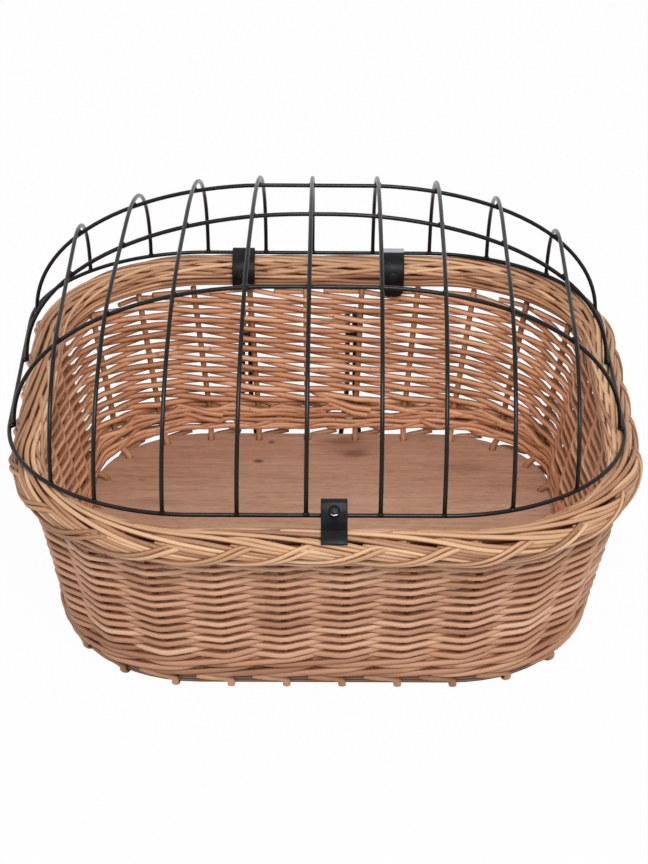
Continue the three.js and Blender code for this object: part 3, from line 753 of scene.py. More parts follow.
def side_weavers():
    """French randing: a weaver starts at each stake and climbs a row for each stake it passes."""
    made = []
    start = WALL_BOTTOM + ROW * (2 * WALE_ROUNDS + 0.55)
    reach = (WALL_TOP - UNDER_BORDER - start) / ROW
    lean = rng.normal(0, 0.5, (STAKES, 4))
    for first in range(STAKES):
        behind = rng.uniform(*BEHIND)
        end = reach + rng.uniform(-0.3, 0.2)
        count = int((end + behind) * STEPS_PER_STAKE)
        stakes = np.linspace(-behind, end, count)
        share = STAKE_SHARES[first] + stakes / STAKES
        z = start + ROW * softened(climbed(stakes), 1) + smooth_noise(count, 30, 0.4)
        z -= BUTT_DROP * np.exp(-(stakes + behind) / 1.1)
        nearest = np.clip(np.rint(stakes), 0, None).astype(int)
        leaning = lean[(first + nearest) % STAKES, np.minimum(nearest // 6, 3)]
        z += leaning * (1 - 2 * np.abs(stakes - nearest))
        points, outward = on_wall(share, z)
        sway = in_and_out(stakes) * (1 + smooth_noise(count, 24, 0.06))
        butt = 0.26 * np.exp(-(stakes + behind) / 1.3)
        taper = (np.linspace(1.05, 0.93, count) + butt) * rng.uniform(0.92, 1.06)
        tone = rng.uniform(0.2, 0.8) + smooth_noise(count, 16, 0.14)
        made.append(rod(points, SIDE_ROD * taper, tone, outward, sway,
                        along_start=rng.uniform(0, 900)))
    return made


def lifted_at_back(share):
    """The wale sits a little higher along the back of the board than along the front."""
    return BACK_LIFT * (1 - np.cos(2 * np.pi * share)) / 2


def wale_weavers():
    """Three-rod waling: each rod goes outside two stakes and inside one."""
    made = []
    count = WALE_REACH * STEPS_PER_STAKE
    for turn_number in range(WALE_ROUNDS):
        for order in range(WALE_RODS):
            offset = rng.integers(0, STAKES)
            stakes = np.linspace(0, WALE_REACH, count)
            cycle = np.mod(stakes + order, 3.0)
            # -1 at the stake it goes behind, 1 from the next stake to the one after
            go_out = np.clip(cycle, 0, 1)
            go_in = np.clip(cycle - 2, 0, 1)
            sway = -np.cos(np.pi * (go_out - go_in))
            climb = np.interp(cycle, [0, 0.5, 2.5, 3], [0.5, 0, 1, 0.5])
            z = WALL_BOTTOM - WALE_DROP + WALE_RISE * (turn_number + climb * 0.98)
            z += smooth_noise(count, 24, 0.3)
            share = STAKE_SHARES[0] + (stakes + offset * 3) / STAKES
            points, outward = on_wall(share, z + lifted_at_back(share))
            radius = WALE_ROD * (1 + smooth_noise(count, 10, 0.06))
            tone = rng.uniform(-0.15, 0.45, 8)[(np.mod(stakes, WALE_REACH) / 4).astype(int)]
            made.append(rod(points, radius, tone, outward, sway * 0.98))
    return made


def inner_wale():
    """Long rods that run along the inside of the wale, each climbing gently to its tip."""
    made = []
    for level in range(INNER_ROUNDS):
        for part in range(INNER_RODS):
            begin = part * STAKES / INNER_RODS + level * INNER_LAG + rng.uniform(-0.4, 0.4)
            stakes = np.linspace(0, INNER_REACH, int(INNER_REACH * STEPS_PER_STAKE))
            share = STAKE_SHARES[0] + (begin + stakes) / STAKES
            z = INNER_START + INNER_RISE * level + INNER_CLIMB * (stakes / INNER_REACH - 0.5)
            z += smooth_noise(len(stakes), 9, 0.5)
            z = np.maximum(z, INNER_START - 0.9) + lifted_at_back(share)
            points, outward = on_wall(share, z)
            near_end = np.exp(-stakes / 0.3) + np.exp((stakes - INNER_REACH) / 0.3)
            sway = -0.74 - 0.2 * np.cos(2 * np.pi * (begin + stakes)) + 0.45 * near_end
            radius = np.linspace(WALE_ROD, WALE_TIP, len(stakes)) * rng.uniform(0.94, 1.06)
            tone = rng.uniform(0, 0.7) + smooth_noise(len(stakes), 9, 0.1)
            made.append(rod(points, radius, tone, outward, sway, along_start=rng.uniform(0, 900)))
    return made


# Thick cut ends left inside at the back: place along x, height, reach in stakes. Each comes
# down by BUTT_FALL and sways from outside to well inside, where it lies over the wale
BUTT_FALL, BUTT_START, BUTT_END = 9.0, 0.9, -1.55
BUTT_ENDS = [(44.0, 39.0, 1.15), (41.0, 33.6, 0.95), (-92.0, 33.0, 1.1), (-96.0, 27.6, 1.0),
             (112.0, 22.0, 0.8)]


def butt_ends():
    """Rods that come through the wall from outside and end thick and cut on the inside."""
    made = []
    shares = np.linspace(0, 1, 1441)
    for order, (place, height, reach) in enumerate(BUTT_ENDS):
        points, _ = on_wall(shares, height)
        off = np.where(points[:, 1] < 0, np.inf, np.abs(points[:, 0] - place))
        way = np.linspace(0, 1, 24)
        share = shares[np.argmin(off)] + reach * (1 - way) / STAKES
        points, outward = on_wall(share, height + BUTT_FALL * (1 - way) ** 1.3)
        sway = BUTT_START + (BUTT_END - BUTT_START) * np.clip(way / 0.7, 0, 1) ** 0.8
        tone = np.full(len(way), 0.62 - 0.1 * order)
        made.append(rod(points, np.linspace(2.2, 2.75, len(way)), tone, outward, sway,
                        along_start=100.0 * order))
    return made


weave = grow_rods("willow_side_weave", side_weavers(), weave_willow)
wale = grow_rods("willow_bottom_wale", wale_weavers() + inner_wale() + butt_ends(), weave_willow)


# Plaited border

# The way of a stroke's rods, counted in stakes from its lowest place outside: along the
# inside, over the top, down the outside, and up over the next strokes to where it dives
# under. Angles round the border in degrees, from 0 outside over 90 on top to the inside
WAY_PLACES = [-7.3, -6.3, -5.45, -4.6, -3.75, -3.2, -2.8, -2.4, -2.0, -1.5, -1.0, -0.6, -0.3, 0.0,
              0.25, 0.5, 0.75, 0.92, 1.06, 1.25, 1.7]
WAY_ANGLES = [178, 157, 139, 121, 103, 92, 83, 72, 57, 33, 8, -11, -25, -34,
              -28, -12, 12, 30, 43, 58, 88]
WAY_HEIGHTS = [11.2, 11.6, 11.8, 11.9, 12.0, 12.1, 12.2, 12.3, 12.2, 11.4, 10.4, 10.3, 11.2, 12.2,
               12.9, 13.4, 13.4, 12.3, 9.4, 8.0, 7.0]
# Lanes of a stroke: place across it, where the rod comes up and where it ends
LANES = [(-1.0, -2.05, 1.5), (0.0, -7.3, 1.45), (1.0, -2.15, -0.05)]
# The way on, from under the stroke's own tip and down the inside
RETURN_PLACES = [1.7, 2.1, 2.5, 3.2, 4.0, 4.6]
RETURN_ANGLES = [92, 106, 118, 138, 158, 172]
RETURN_HEIGHTS = [8.0, 11.2, 12.6, 12.8, 12.4, 8.6]
STROKE_LOW = 0.62         # how far before its stake a stroke lies lowest, in stakes
# Where straps lie on the border, along x, and 1 for the back or -1 for the front
STRAP_PLACES = [(place, 1) for place in REAR_PLACES] + [(FRONT_PLACE, -1)]
STRAP_PRESS = 20.0        # half the width that a strap presses in
WIRE_ANGLE, WIRE_SPREAD = math.radians(80), math.radians(42)   # where the lid's wire lies


# Rods that run all the way round, with their angle, distance from the middle and radius:
# first those hidden inside the border, then those that show under it
HIDDEN_RODS = [(0, 0, 3.2), (30, 5.4, 2.8), (90, 5.4, 2.8), (150, 5.6, 2.8), (210, 6.2, 2.8),
               (270, 6.0, 2.8), (330, 6.2, 2.8)]
UNDER_RODS = [(183, 10.6, 2.0), (202, 11.6, 2.0), (221, 11.8, 2.0), (240, 12.0, 2.0),
              (259, 11.9, 2.0), (278, 11.8, 2.0), (298, 11.6, 2.1), (318, 11.2, 2.1)]


def round_rim(share, angle, radius):
    """Points round the border's tube, and the directions away from its middle. Angle 0 is
    outward and 90 degrees is up."""
    away = np.concatenate([rim.outward(share) * np.cos(angle)[:, None], np.sin(angle)[:, None]], -1)
    middle = np.concatenate([rim.at(share), np.full((len(share), 1), BORDER_Z)], -1)
    return middle + away * radius[:, None], away


def pressed_in(share, angle, radius, thick):
    """The radius, drawn in where a strap or the lid's wire lies on the border."""
    flat = rim.at(share)
    near = np.exp(-((angle - WIRE_ANGLE) / WIRE_SPREAD) ** 6)
    for place, side in STRAP_PLACES:
        here = np.exp(-((flat[:, 0] - place) / STRAP_PRESS) ** 6) * (flat[:, 1] * side > 0)
        near = np.maximum(near, here)
    return radius - near * np.maximum(0, radius + thick - BORDER_REACH)


def border_rods():
    """Strokes of three rods each with their way on, round a core that runs along the tube."""
    made = []
    for order in range(STAKES):
        low = STAKE_SHARES[order] - STROKE_LOW / STAKES + rng.normal(0, 0.0012)
        for lane, begin, end in LANES:
            begin = begin + rng.uniform(-0.1, 0.1)
            count = int((end - begin) * 10) + 1
            way = np.linspace(begin, end, count)
            thick = np.interp(way, [-3.0, -1.7], [2.2, 1.88]) * rng.uniform(0.9, 1.1)
            spread = np.interp(way, [-0.3, 0.6], [1.0, 1.12])
            angle = np.radians(through(way, WAY_PLACES, WAY_ANGLES, 0.16)
                               + lane * LANE_ANGLE * spread + smooth_noise(count, 6, 1.9))
            later = 0.14 * lane * np.clip(way / 0.5, 0, 1)
            radius = through(way + later, WAY_PLACES, WAY_HEIGHTS, 0.1)
            radius += smooth_noise(count, 8, 0.2)
            radius += rng.normal(0, 0.25) - 5.0 * np.exp(-(way - begin) / 0.22)
            if end < 1:
                radius -= 3.5 * np.exp((way - end) / 0.25)
            share = low + way / STAKES
            radius = pressed_in(share, angle, radius, thick)
            tone = rng.uniform(0.1, 0.95) + smooth_noise(count, 5, 0.08)
            points, away = round_rim(share, angle, radius)
            made.append(rod(points, thick, tone, away, along_start=rng.uniform(0, 900)))
        way = np.linspace(RETURN_PLACES[0], RETURN_PLACES[-1], 26)
        angle = np.radians(through(way, RETURN_PLACES, RETURN_ANGLES, 0.1) + rng.normal(0, 2.5))
        radius = through(way, RETURN_PLACES, RETURN_HEIGHTS, 0.1)
        share = low + way / STAKES
        points, away = round_rim(share, angle, pressed_in(share, angle, radius, RETURN_ROD))
        made.append(rod(points, RETURN_ROD, rng.uniform(0.1, 0.8), away,
                        along_start=rng.uniform(0, 900)))
    share = np.arange(ROUND_STEPS) / ROUND_STEPS
    for angle, radius, size in HIDDEN_RODS + UNDER_RODS:
        hidden = (angle, radius, size) in HIDDEN_RODS
        angles = math.radians(angle) + closed_noise(ROUND_STEPS, 40, 0.05 if hidden else 0.09)
        radii = pressed_in(share, angles, radius + closed_noise(ROUND_STEPS, 40, 0.35), size)
        # Painted shade: the rods hidden inside the border take the darkest tone
        tone = rng.uniform(0, 0.8, 10)[(share * 10).astype(int)] - (1.2 if hidden else 0.0)
        points, away = round_rim(share, angles, radii)
        made.append(rod(points, size, tone, away, closed=True))
    return made


border = grow_rods("willow_border", border_rods(), border_willow)


# Stakes

def at_edge(share, outward, z):
    flat = board_edge.at(share) + board_edge.outward(share) * outward
    return [flat[0], flat[1], z]


def stake_line(share):
    """A stake's way from the border down through its hole, flat under the board, up outside
    the board's edge and on as a tail under the wall, with its half width and half depth."""
    outside = STAKE_RADIUS + ROD_PLAY + GAP / 2
    foot_z = -GAP - FOOT_THICK / 2
    flat, wide, slack = FOOT_THICK / 2, FOOT_WIDE / 2, STAKE_RADIUS + GAP
    whole = (STAKE_RADIUS, STAKE_RADIUS)
    pressed = (wide, flat)
    kinked = ((wide + STAKE_RADIUS) / 2, (flat + STAKE_RADIUS) / 2)

    def tail(part, outward, z):
        return at_edge(share - TAIL_LENGTH * part / board_edge.length, outward, z), whole

    top = wall_top.at(share)
    low = np.array(at_edge(share, WALL_FOOT + 1, WALL_BOTTOM + 4))
    high = np.array([top[0], top[1], STAKE_TOP + 3])
    line = [(high * (1 - k / 4) + low * k / 4, whole) for k in range(4)]
    line += [
        (low, whole),
        (at_edge(share, WALL_FOOT - 1.5, WALL_BOTTOM + 0.5), whole),
        (at_edge(share, -HOLE_INSET * 0.85, BOARD_THICK + slack - 1), whole),
        (at_edge(share, -HOLE_INSET, BOARD_THICK), whole),
        (at_edge(share, -HOLE_INSET, flat), whole),
        (at_edge(share, -HOLE_INSET + 2, foot_z), pressed),
        (at_edge(share, outside / 2, foot_z), pressed),
        (at_edge(share, outside + 0.1, flat - 0.3), kinked),
        (at_edge(share, outside, BOARD_THICK * 0.4), whole),
        tail(0.1, outside + 0.5, BOARD_THICK * 0.6),
        tail(0.45, outside + 2.0, WALL_BOTTOM - slack - 5.2),
        tail(0.85, outside + 3.0, WALL_BOTTOM - slack - 2.4),
    ]
    return np.array([p for p, _ in line], float), np.array([h for _, h in line], float)


def swept(lines, sides):
    """Closed rods of changing section, all in one mesh, with their place along and around."""
    points, faces, along_kept, around_kept, tone_kept = [], [], [], [], []
    for line, halves, across, tone in lines:
        base = len(points)
        along = np.gradient(line, axis=0)
        along /= np.linalg.norm(along, axis=1, keepdims=True)
        reach = line_reach(line)
        side = np.array(across, float)
        for i in range(len(line)):
            side = side - along[i] * side.dot(along[i])
            side /= np.linalg.norm(side)
            deep = np.cross(along[i], side)
            for k in range(sides):
                angle = 2 * math.pi * (k + 0.5) / sides
                c, s = math.cos(angle), math.sin(angle)
                points.append(line[i] + side * halves[i][0] * c + deep * halves[i][1] * s)
                along_kept.append(reach[i] * MM)
                around_kept.append((c, s, 0))
                tone_kept.append(tone)
        faces += tube_faces(len(line), sides, base)
    return points, faces, along_kept, around_kept, tone_kept


def willow_stakes():
    lines = []
    for share in STAKE_SHARES:
        coarse, sizes = stake_line(share)
        line, places = hermite(coarse, 4)
        size = rng.uniform(0.96, 1.0)
        halves = np.stack([np.interp(places, range(len(sizes)), one) * size for one in sizes.T],
                          -1)
        out = board_edge.outward(share)
        lines.append((line, halves, (-out[1], out[0], 0), rng.uniform(0, 1)))
    points, faces, along, around, tone = swept(lines, 12)
    return mesh_piece("willow_stakes", points, faces, stake_willow,
                      along=along, around=around, tone=tone)


stake_rods = willow_stakes()


# Wire lid

def hoop_share(x, y):
    """How far out a point of the plan lies, from 0 in the middle to 1 on the hoop."""
    dx, dy = abs(x - LID_X), abs(y - LID_Y)
    if dx * LID_HALF_Y <= dy * LID_STRAIGHT_X:
        return dy / LID_HALF_Y
    if dy * LID_HALF_X <= dx * LID_STRAIGHT_Y:
        return dx / LID_HALF_X
    rx, ry = LID_HALF_X - LID_STRAIGHT_X, LID_HALF_Y - LID_STRAIGHT_Y
    a = (dx / rx) ** 2 + (dy / ry) ** 2
    b = dx * LID_STRAIGHT_X / rx**2 + dy * LID_STRAIGHT_Y / ry**2
    c = (LID_STRAIGHT_X / rx) ** 2 + (LID_STRAIGHT_Y / ry) ** 2 - 1
    return a / (b + math.sqrt(b * b - a * c))


def dome_z(x, y):
    share = min(hoop_share(x, y), 1.0)
    return HINGE_Z + DOME_HEIGHT * (1 - share**DOME_FULLNESS) ** (1 / DOME_FULLNESS)


def dome_normal(x, y, z):
    """The direction straight out of the dome."""
    step = 0.01

    def level(u, v, w):
        height = (max(w, HINGE_Z) - HINGE_Z) / DOME_HEIGHT
        return hoop_share(u, v) ** DOME_FULLNESS + height**DOME_FULLNESS
    normal = Vector((
        level(x + step, y, z) - level(x - step, y, z),
        level(x, y + step, z) - level(x, y - step, z),
        2 * (level(x, y, z + step) - level(x, y, z)),
    ))
    return np.array(normal.normalized())


def under_dome(x, y, depth):
    """The point so far inside the dome's surface."""
    z = dome_z(x, y)
    return np.array((x, y, z)) - dome_normal(x, y, z) * depth


def hoop_half_y(x):
    over = max(abs(x - LID_X) - LID_STRAIGHT_X, 0) / (LID_HALF_X - LID_STRAIGHT_X)
    return LID_STRAIGHT_Y + (LID_HALF_Y - LID_STRAIGHT_Y) * math.sqrt(1 - over * over)


def hoop_half_x(y):
    over = max(abs(y - LID_Y) - LID_STRAIGHT_Y, 0) / (LID_HALF_Y - LID_STRAIGHT_Y)
    return LID_STRAIGHT_X + (LID_HALF_X - LID_STRAIGHT_X) * math.sqrt(1 - over * over)


BOW_SPACING = 2 * (LID_HALF_X - END_BAY) / (len(FRONT_WANDER) - 1)


def cross_bow_ends(order):
    """Where a cross bow meets the hoop in front and at the back."""
    even = LID_X + (order - (len(FRONT_WANDER) - 1) / 2) * BOW_SPACING
    front, rear = even + FRONT_WANDER[order], even + REAR_WANDER[order]
    return (front, LID_Y - hoop_half_y(front)), (rear, LID_Y + hoop_half_y(rear))


def cross_bow(order, steps=54):
    """A cross bow follows the dome down to its seat on the hoop."""
    (front, front_y), (rear, rear_y) = cross_bow_ends(order)
    seat = HINGE_Z + WIRE + GAP
    points = []
    for k in range(steps + 1):
        share = (1 - math.cos(k / steps * math.pi)) / 2
        x, y = front + (rear - front) * share, front_y + (rear_y - front_y) * share
        points.append((x, y, max(dome_z(x, y), seat)))
    return points


def long_bow(share, steps=64):
    """A long bow runs along under the cross bows."""
    y = LID_Y + share * LID_HALF_Y
    half = hoop_half_x(y)
    return [under_dome(LID_X - half * math.cos(k / steps * math.pi), y, 2 * WIRE + WELD_GAP)
            for k in range(steps + 1)]


def lid_wires():
    made = [rod(cross_bow(order), WIRE, 0.5) for order in range(len(FRONT_WANDER))]
    made += [rod(long_bow(share), WIRE, 0.5) for share in LONG_BOW_SHARES]
    hoop = Outline(LID_HALF_X, LID_HALF_Y, LID_STRAIGHT_X, LID_STRAIGHT_Y)
    flat = hoop.at(np.arange(ROUND_STEPS) / ROUND_STEPS) + (LID_X, LID_Y)
    points = np.concatenate([flat, np.full((ROUND_STEPS, 1), HINGE_Z)], -1)
    return made + [rod(points, WIRE, 0.5, closed=True)]


def weld_points():
    """Where a bow's end meets the hoop, and where two bows cross."""
    points = []
    for order in range(len(FRONT_WANDER)):
        (front, front_y), (rear, rear_y) = cross_bow_ends(order)
        points += [(front, front_y, HINGE_Z + WELD_RISE), (rear, rear_y, HINGE_Z + WELD_RISE)]
        for share in LONG_BOW_SHARES:
            y = LID_Y + share * LID_HALF_Y
            x = front + (rear - front) * (y - front_y) / (rear_y - front_y)
            points.append(tuple(under_dome(x, y, WIRE + 0.2)))
    for share in LONG_BOW_SHARES:
        y = LID_Y + share * LID_HALF_Y
        for side in (-1, 1):
            points.append((LID_X + side * (hoop_half_x(y) - 1.6), y, HINGE_Z + 0.6))
    mesh = bpy.data.meshes.new("weld_points")
    mesh.from_pydata((np.array(points) * MM).tolist(), [], [])
    return mesh


lid = grow_rods("lid_wires", lid_wires(), powder_coat, sides=12)
welds = grow("lid_welds", weld_points(), bead_tree, bead_size=WELD_SIZE * MM, seed=3,
             finish=powder_coat)


# Handlebar hooks

def hook_line(place):
    """One bent wire: up the back wall, over the room for a handlebar and round its nose, and
    back the same way. The legs splay and come off the wall towards the foot."""
    room, spacing, splay, lift, off_wall = 32.0, 7.0, 5.0, 3.4, 5.6
    foot, lift_end, splay_start, shoulder, tip = 5.0, 20.0, 50.0, 98.0, 14.0
    radius, half = (room + 2 * HOOK_RADIUS) / 2, spacing / 2

    def leg_y(z):
        rise = (z - WALL_BOTTOM) / (WALL_TOP - WALL_BOTTOM)
        low, high = BOARD_Y + WALL_FOOT, BORDER_Y - WALL_FOOT
        return low + (high - low) * rise + off_wall

    side = []
    for z in (foot, lift_end, splay_start, shoulder - 4):
        below = max(0, splay_start - z)
        side.append((half + splay * below / (splay_start - foot),
                     leg_y(z) + lift * min(1, below / (splay_start - lift_end)), z))
    shoulder_y = leg_y(shoulder)
    for k in range(15):
        angle = k / 14 * math.pi
        side.append((half, shoulder_y + radius * (1 - math.cos(angle)),
                     shoulder + radius * math.sin(angle)))
    nose = []
    for k in range(9):
        angle = k / 8 * math.pi
        nose.append((half * math.cos(angle), shoulder_y + 2 * radius,
                     shoulder - tip - half * math.sin(angle)))
    other = [(-x, y, z) for x, y, z in reversed(side)]
    return np.array([(place + x, y, z) for x, y, z in side + nose + other])


hooks = grow_rods("handlebar_hooks",
                  [rod(hook_line(place), HOOK_RADIUS, 0.5) for place in HOOK_PLACES],
                  hook_coat, sides=14)


# Leather straps

def arc(centre, radius, start, end, steps):
    angles = np.radians(np.linspace(start, end, steps + 1))
    return [(centre[0] + radius * math.cos(a), centre[1] + radius * math.sin(a)) for a in angles]


def ribbon(name, path, place, material, taper=0.0):
    """A strap along a path in the plane across the border, with softly rounded edges."""
    path = np.array(path)
    along = np.gradient(path, axis=0)
    along /= np.linalg.norm(along, axis=1, keepdims=True)
    outward = np.stack([-along[:, 1], along[:, 0]], -1)
    to_end = line_reach(path)[-1] - line_reach(path)
    edge = 0.55
    half_w, half_t = STRAP_WIDTH / 2, STRAP_THICK / 2
    section = []
    for side_x, side_y, start in ((1, 1, 0), (-1, 1, 90), (-1, -1, 180), (1, -1, 270)):
        for step in (0, 30, 60, 90):
            angle = math.radians(start + step)
            section.append((side_x * (half_w - edge) + edge * math.cos(angle),
                            side_y * (half_t - edge) + edge * math.sin(angle)))
    points = []
    for i in range(len(path)):
        narrow = 1.0
        if taper and to_end[i] < taper:
            share = 1 - to_end[i] / taper
            narrow = math.sqrt(max(0.0, 1 - (share * 0.93) ** 2.6))
        for across, deep in section:
            points.append((place + across * narrow, *(path[i] + outward[i] * deep)))
    faces = [face[::-1] for face in tube_faces(len(path), len(section))]
    return mesh_piece(name, points, faces, material)


BORDER_BACK = np.array((BORDER_Y, BORDER_Z))
STRAP_RADIUS = BORDER_RADIUS + STRAP_LAY + STRAP_THICK / 2
LEAF_RADIUS = STRAP_RADIUS + STRAP_THICK + GAP
WIRE_WRAP = WIRE + ROD_PLAY + STRAP_THICK / 2
LEAF_END, FREE_LEAF_END = 215, 197   # angles where the inner end leaves off or hangs down
FREE_LENGTH = 13.5


def rear_strap_path(hangs_free):
    """Round the border, over the lid's wire and down inside, where the end may hang free."""
    wire = np.array((HINGE_Y, HINGE_Z))
    leaf_end, hanging = LEAF_END, []
    if hangs_free:
        leaf_end = FREE_LEAF_END
        turned = math.radians(leaf_end)
        away = np.array((math.cos(turned), math.sin(turned)))
        down = np.array((-away[1], away[0]))
        hanging = [tuple(BORDER_BACK + away * (LEAF_RADIUS + step**2 * 0.004) + down * step)
                   for step in np.linspace(1.2, FREE_LENGTH, 11)]
    apart = wire - BORDER_BACK
    distance = np.linalg.norm(apart)
    towards = math.degrees(math.atan2(apart[1], apart[0]))
    outer = math.degrees(math.acos((STRAP_RADIUS - WIRE_WRAP) / distance))
    inner = math.degrees(math.acos((LEAF_RADIUS - WIRE_WRAP) / distance))
    return (arc(BORDER_BACK, STRAP_RADIUS, 150, 360 + towards - outer, 40)
            + arc(wire, WIRE_WRAP, towards - outer, towards + inner, 12)
            + arc(BORDER_BACK, LEAF_RADIUS, towards + inner, leaf_end, 22)
            + hanging)


def front_strap_path():
    """Over the border, up to a fold above the lid's wire and down round that wire."""
    border_front, wire = (-BORDER_Y, BORDER_Z), (FRONT_WIRE_Y, HINGE_Z)
    fold_radius, fold_height = 3.5, 15.0
    fold_top = wire[1] + fold_height - STRAP_THICK / 2
    fold = (wire[0] + WIRE_WRAP - fold_radius, fold_top - fold_radius)
    return (arc(border_front, STRAP_RADIUS, 135, 84, 14), arc(fold, fold_radius, 150, 0, 12),
            arc(wire, WIRE_WRAP, 0, -150, 12))


def stud(name, place, spot, outward, height, material):
    """A domed press-stud cap on its post, turned from a profile of radius and height."""
    profile = [(0, 0), (1.6, 0), (1.6, height), (3.9, height), (4.25, height + 0.25),
               (4.3, height + 0.6), (4.1, height + 1.0), (3.6, height + 1.35),
               (2.8, height + 1.6), (1.6, height + 1.76), (0, height + 1.8)]
    sides = 36
    axis = Vector((0, outward[0], outward[1])).normalized()
    turned = Vector((0, 0, 1)).rotation_difference(axis)
    points, faces = [], []
    for radius, level in profile:
        for k in range(sides):
            angle = 2 * math.pi * k / sides
            local = Vector((radius * math.cos(angle), radius * math.sin(angle), level))
            points.append(tuple(turned @ local + Vector((place, spot[0], spot[1]))))
    for i in range(len(profile) - 1):
        for k in range(sides):
            a, b = i * sides + k, i * sides + (k + 1) % sides
            if i == 0:
                faces.append((a, b + sides, a + sides))
            elif i == len(profile) - 2:
                faces.append((a, b, a + sides))
            else:
                faces.append((a, b, b + sides, a + sides))
    return mesh_piece(name, points, faces, material)


# Round the border, and above the lid's wire
REAR_STUD_ANGLE, FRONT_STUD_HEIGHT = math.radians(168), 9.0
rear_out = np.array((math.cos(REAR_STUD_ANGLE), math.sin(REAR_STUD_ANGLE)))
rear_start = BORDER_BACK + rear_out * (BORDER_RADIUS + STRAP_LAY + GAP)
post = LEAF_RADIUS + STRAP_THICK / 2 - (BORDER_RADIUS + STRAP_LAY)
rear_straps, rear_studs = [], []
for side_name, place in zip(("left", "right"), REAR_PLACES):
    # The right strap hangs free at its end and has the painted highlight on its fold
    worn_and_highlit = side_name == "right"
    rear_straps.append(ribbon(f"rear_strap_leather_{side_name}", rear_strap_path(worn_and_highlit), place,
                              worn_leather if worn_and_highlit else strap_leather, taper=9.0 if worn_and_highlit else 0.0))
    rear_studs.append(stud(f"rear_stud_cap_{side_name}", place, rear_start, rear_out, post,
                           hook_coat))

leaf, fold, wrap = front_strap_path()
front_strap = ribbon("front_strap_leather", leaf + fold + wrap, FRONT_PLACE, strap_leather)
start, end = np.array(leaf[-1]), np.array(fold[0])
rise = (HINGE_Z + FRONT_STUD_HEIGHT - start[1]) / (end[1] - start[1])
at_stud = start + (end - start) * rise
leaf_along = (end - start) / np.linalg.norm(end - start)
leaf_out = np.array((-leaf_along[1], leaf_along[0]))
back = STRAP_THICK / 2 + GAP
stud_foot = at_stud - leaf_out * back
front_stud = stud("front_stud_cap", FRONT_PLACE, stud_foot, leaf_out, 2 * back, stud_plate)


def stud_glint(place, spot, outward, height):
    """A painted highlight: a bright metal arc along the bottom of a stud's cap, where its glint
    shows.
    """
    radius, half_angle, thick, thin = 3.75, 62, 0.27, 0.06
    axis = np.array((0.0, outward[0], outward[1]))
    down = np.array((0.0, outward[1], -outward[0]))
    side = np.array((1.0, 0.0, 0.0))
    if down[2] > 0:
        down = -down
    centre = np.array((place, spot[0], spot[1])) + axis * (height + 1.0)
    angles = np.radians(np.linspace(-half_angle, half_angle, 19))
    line = [centre + (down * math.cos(a) + side * math.sin(a)) * radius for a in angles]
    return rod(line, thick * np.cos(angles * 1.2) + thin, 0.5)


front_glint = grow_rods("front_stud_rim", [stud_glint(FRONT_PLACE, stud_foot, leaf_out, 2 * back)],
                      worn_steel)

# Finish of the carried-over board
for slot in nodes["base_board"].material_slots:
    slot.material = base_plywood

# What each piece rides on and stands for
stake_nodes = sorted(n for n in nodes if n.startswith("stake_"))
bow_nodes = sorted(n for n in nodes if n.startswith(("cross_bow", "long_bow", "lid_hoop")))
for piece, body, slot, replaced in (
    (weave, "basket", "willow_weave", ["side_weave"]),
    (wale, "basket", "willow_weave", ["bottom_wale"]),
    (border, "basket", "willow_border", ["plaited_border"]),
    (stake_rods, "basket", "willow_stake", stake_nodes),
    (hooks, "basket", "black_hook", ["handlebar_hook_left", "handlebar_hook_right"]),
    (rear_straps[0], "basket", "black_leather", ["rear_strap_left"]),
    (rear_straps[1], "basket", "black_leather", ["rear_strap_right"]),
    (rear_studs[0], "basket", "stud_metal", ["rear_stud_left"]),
    (rear_studs[1], "basket", "stud_metal", ["rear_stud_right"]),
    (lid, "lid", "black_wire", bow_nodes),
    (welds, "lid", "black_wire", []),
    (front_strap, "front_strap", "black_leather", ["front_strap"]),
    (front_stud, "front_strap", "stud_metal", ["front_stud"]),
    (front_glint, "front_strap", "stud_metal", []),
):
    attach(piece, body)
    if replaced:
        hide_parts(*replaced)


# Floor and light

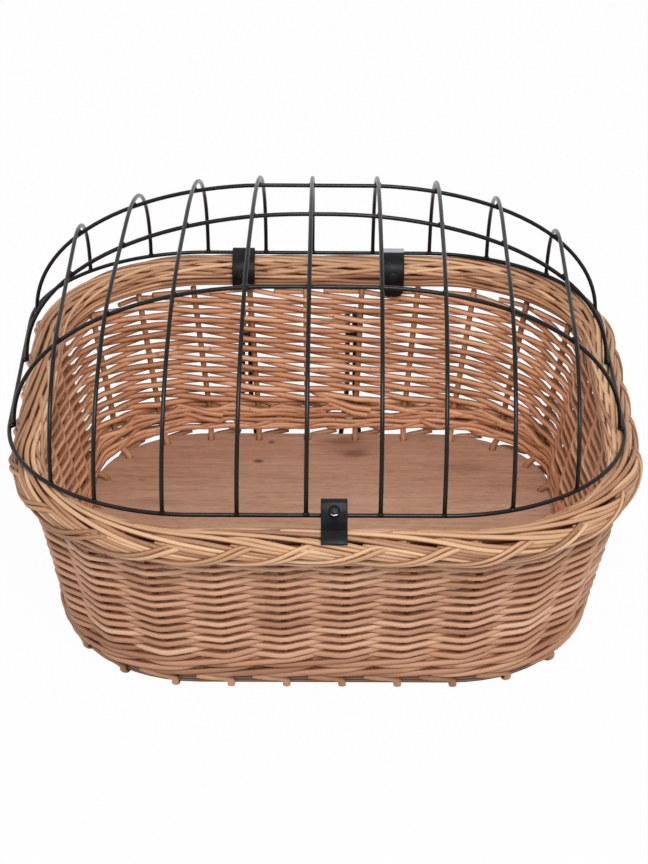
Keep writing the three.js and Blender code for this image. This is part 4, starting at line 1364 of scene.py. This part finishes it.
def seen_white(tree, own, white, share):
    """The surface's own light, and white for what the camera and reflections see of it."""
    rays = tree.nodes.new("ShaderNodeLightPath").outputs
    seen = weighted(tree, rays["Is Camera Ray"], rays["Is Glossy Ray"],
                    rays["Is Transmission Ray"])
    seen = calc(tree, "MULTIPLY", calc(tree, "MINIMUM", seen, 1.0), share)
    return add(tree, "ShaderNodeMixShader", {0: seen, 1: own, 2: white}).outputs[0]


def pale_floor():
    """A wide floor that shows nearly white and keeps a little of the basket's shadow."""
    size, level = 20.0, -(GAP + FOOT_THICK) * MM
    mesh = bpy.data.meshes.new("floor")
    corners = [(-1, -1), (1, -1), (1, 1), (-1, 1)]
    mesh.from_pydata([(x * size, y * size, level) for x, y in corners], [], [(0, 1, 2, 3)])
    floor = placed("floor", mesh)
    material, tree, shader = new_material("pale_floor", 0.9)
    shader.inputs["Base Color"].default_value = (0.66, 0.66, 0.66, 1)
    glow = add(tree, "ShaderNodeEmission", {"Strength": 1.0})
    shown = seen_white(tree, shader.outputs[0], glow.outputs[0], 0.97)
    tree.links.new(shown, tree.nodes["Material Output"].inputs["Surface"])
    mesh.materials.append(material)


def soft_light():
    world = bpy.data.worlds.new("studio")
    bpy.context.scene.world = world
    world.use_nodes = True
    tree = world.node_tree
    room = tree.nodes["Background"]
    room.inputs["Color"].default_value = (1, 1, 1, 1)
    room.inputs["Strength"].default_value = 0.52
    white = add(tree, "ShaderNodeBackground", {"Color": (1, 1, 1, 1), "Strength": 1.0})
    shown = seen_white(tree, room.outputs[0], white.outputs[0], 1.0)
    tree.links.new(shown, tree.nodes["World Output"].inputs["Surface"])
    aim = Vector((0, 0, 0.1))
    for name, place, size, power in (
        ("key", (0.3, -2.0, 2.65), 1.2, 61.0), ("fill", (-1.9, -1.2, 1.9), 1.6, 6.0),
    ):
        data = bpy.data.lights.new(name, "AREA")
        data.shape = "SQUARE"
        data.size = size
        data.energy = power
        lamp = placed(name, data)
        lamp.location = place
        lamp.rotation_euler = (aim - Vector(place)).to_track_quat("-Z", "Y").to_euler()


pale_floor()
soft_light()
bpy.context.scene.view_settings.view_transform = "Standard"
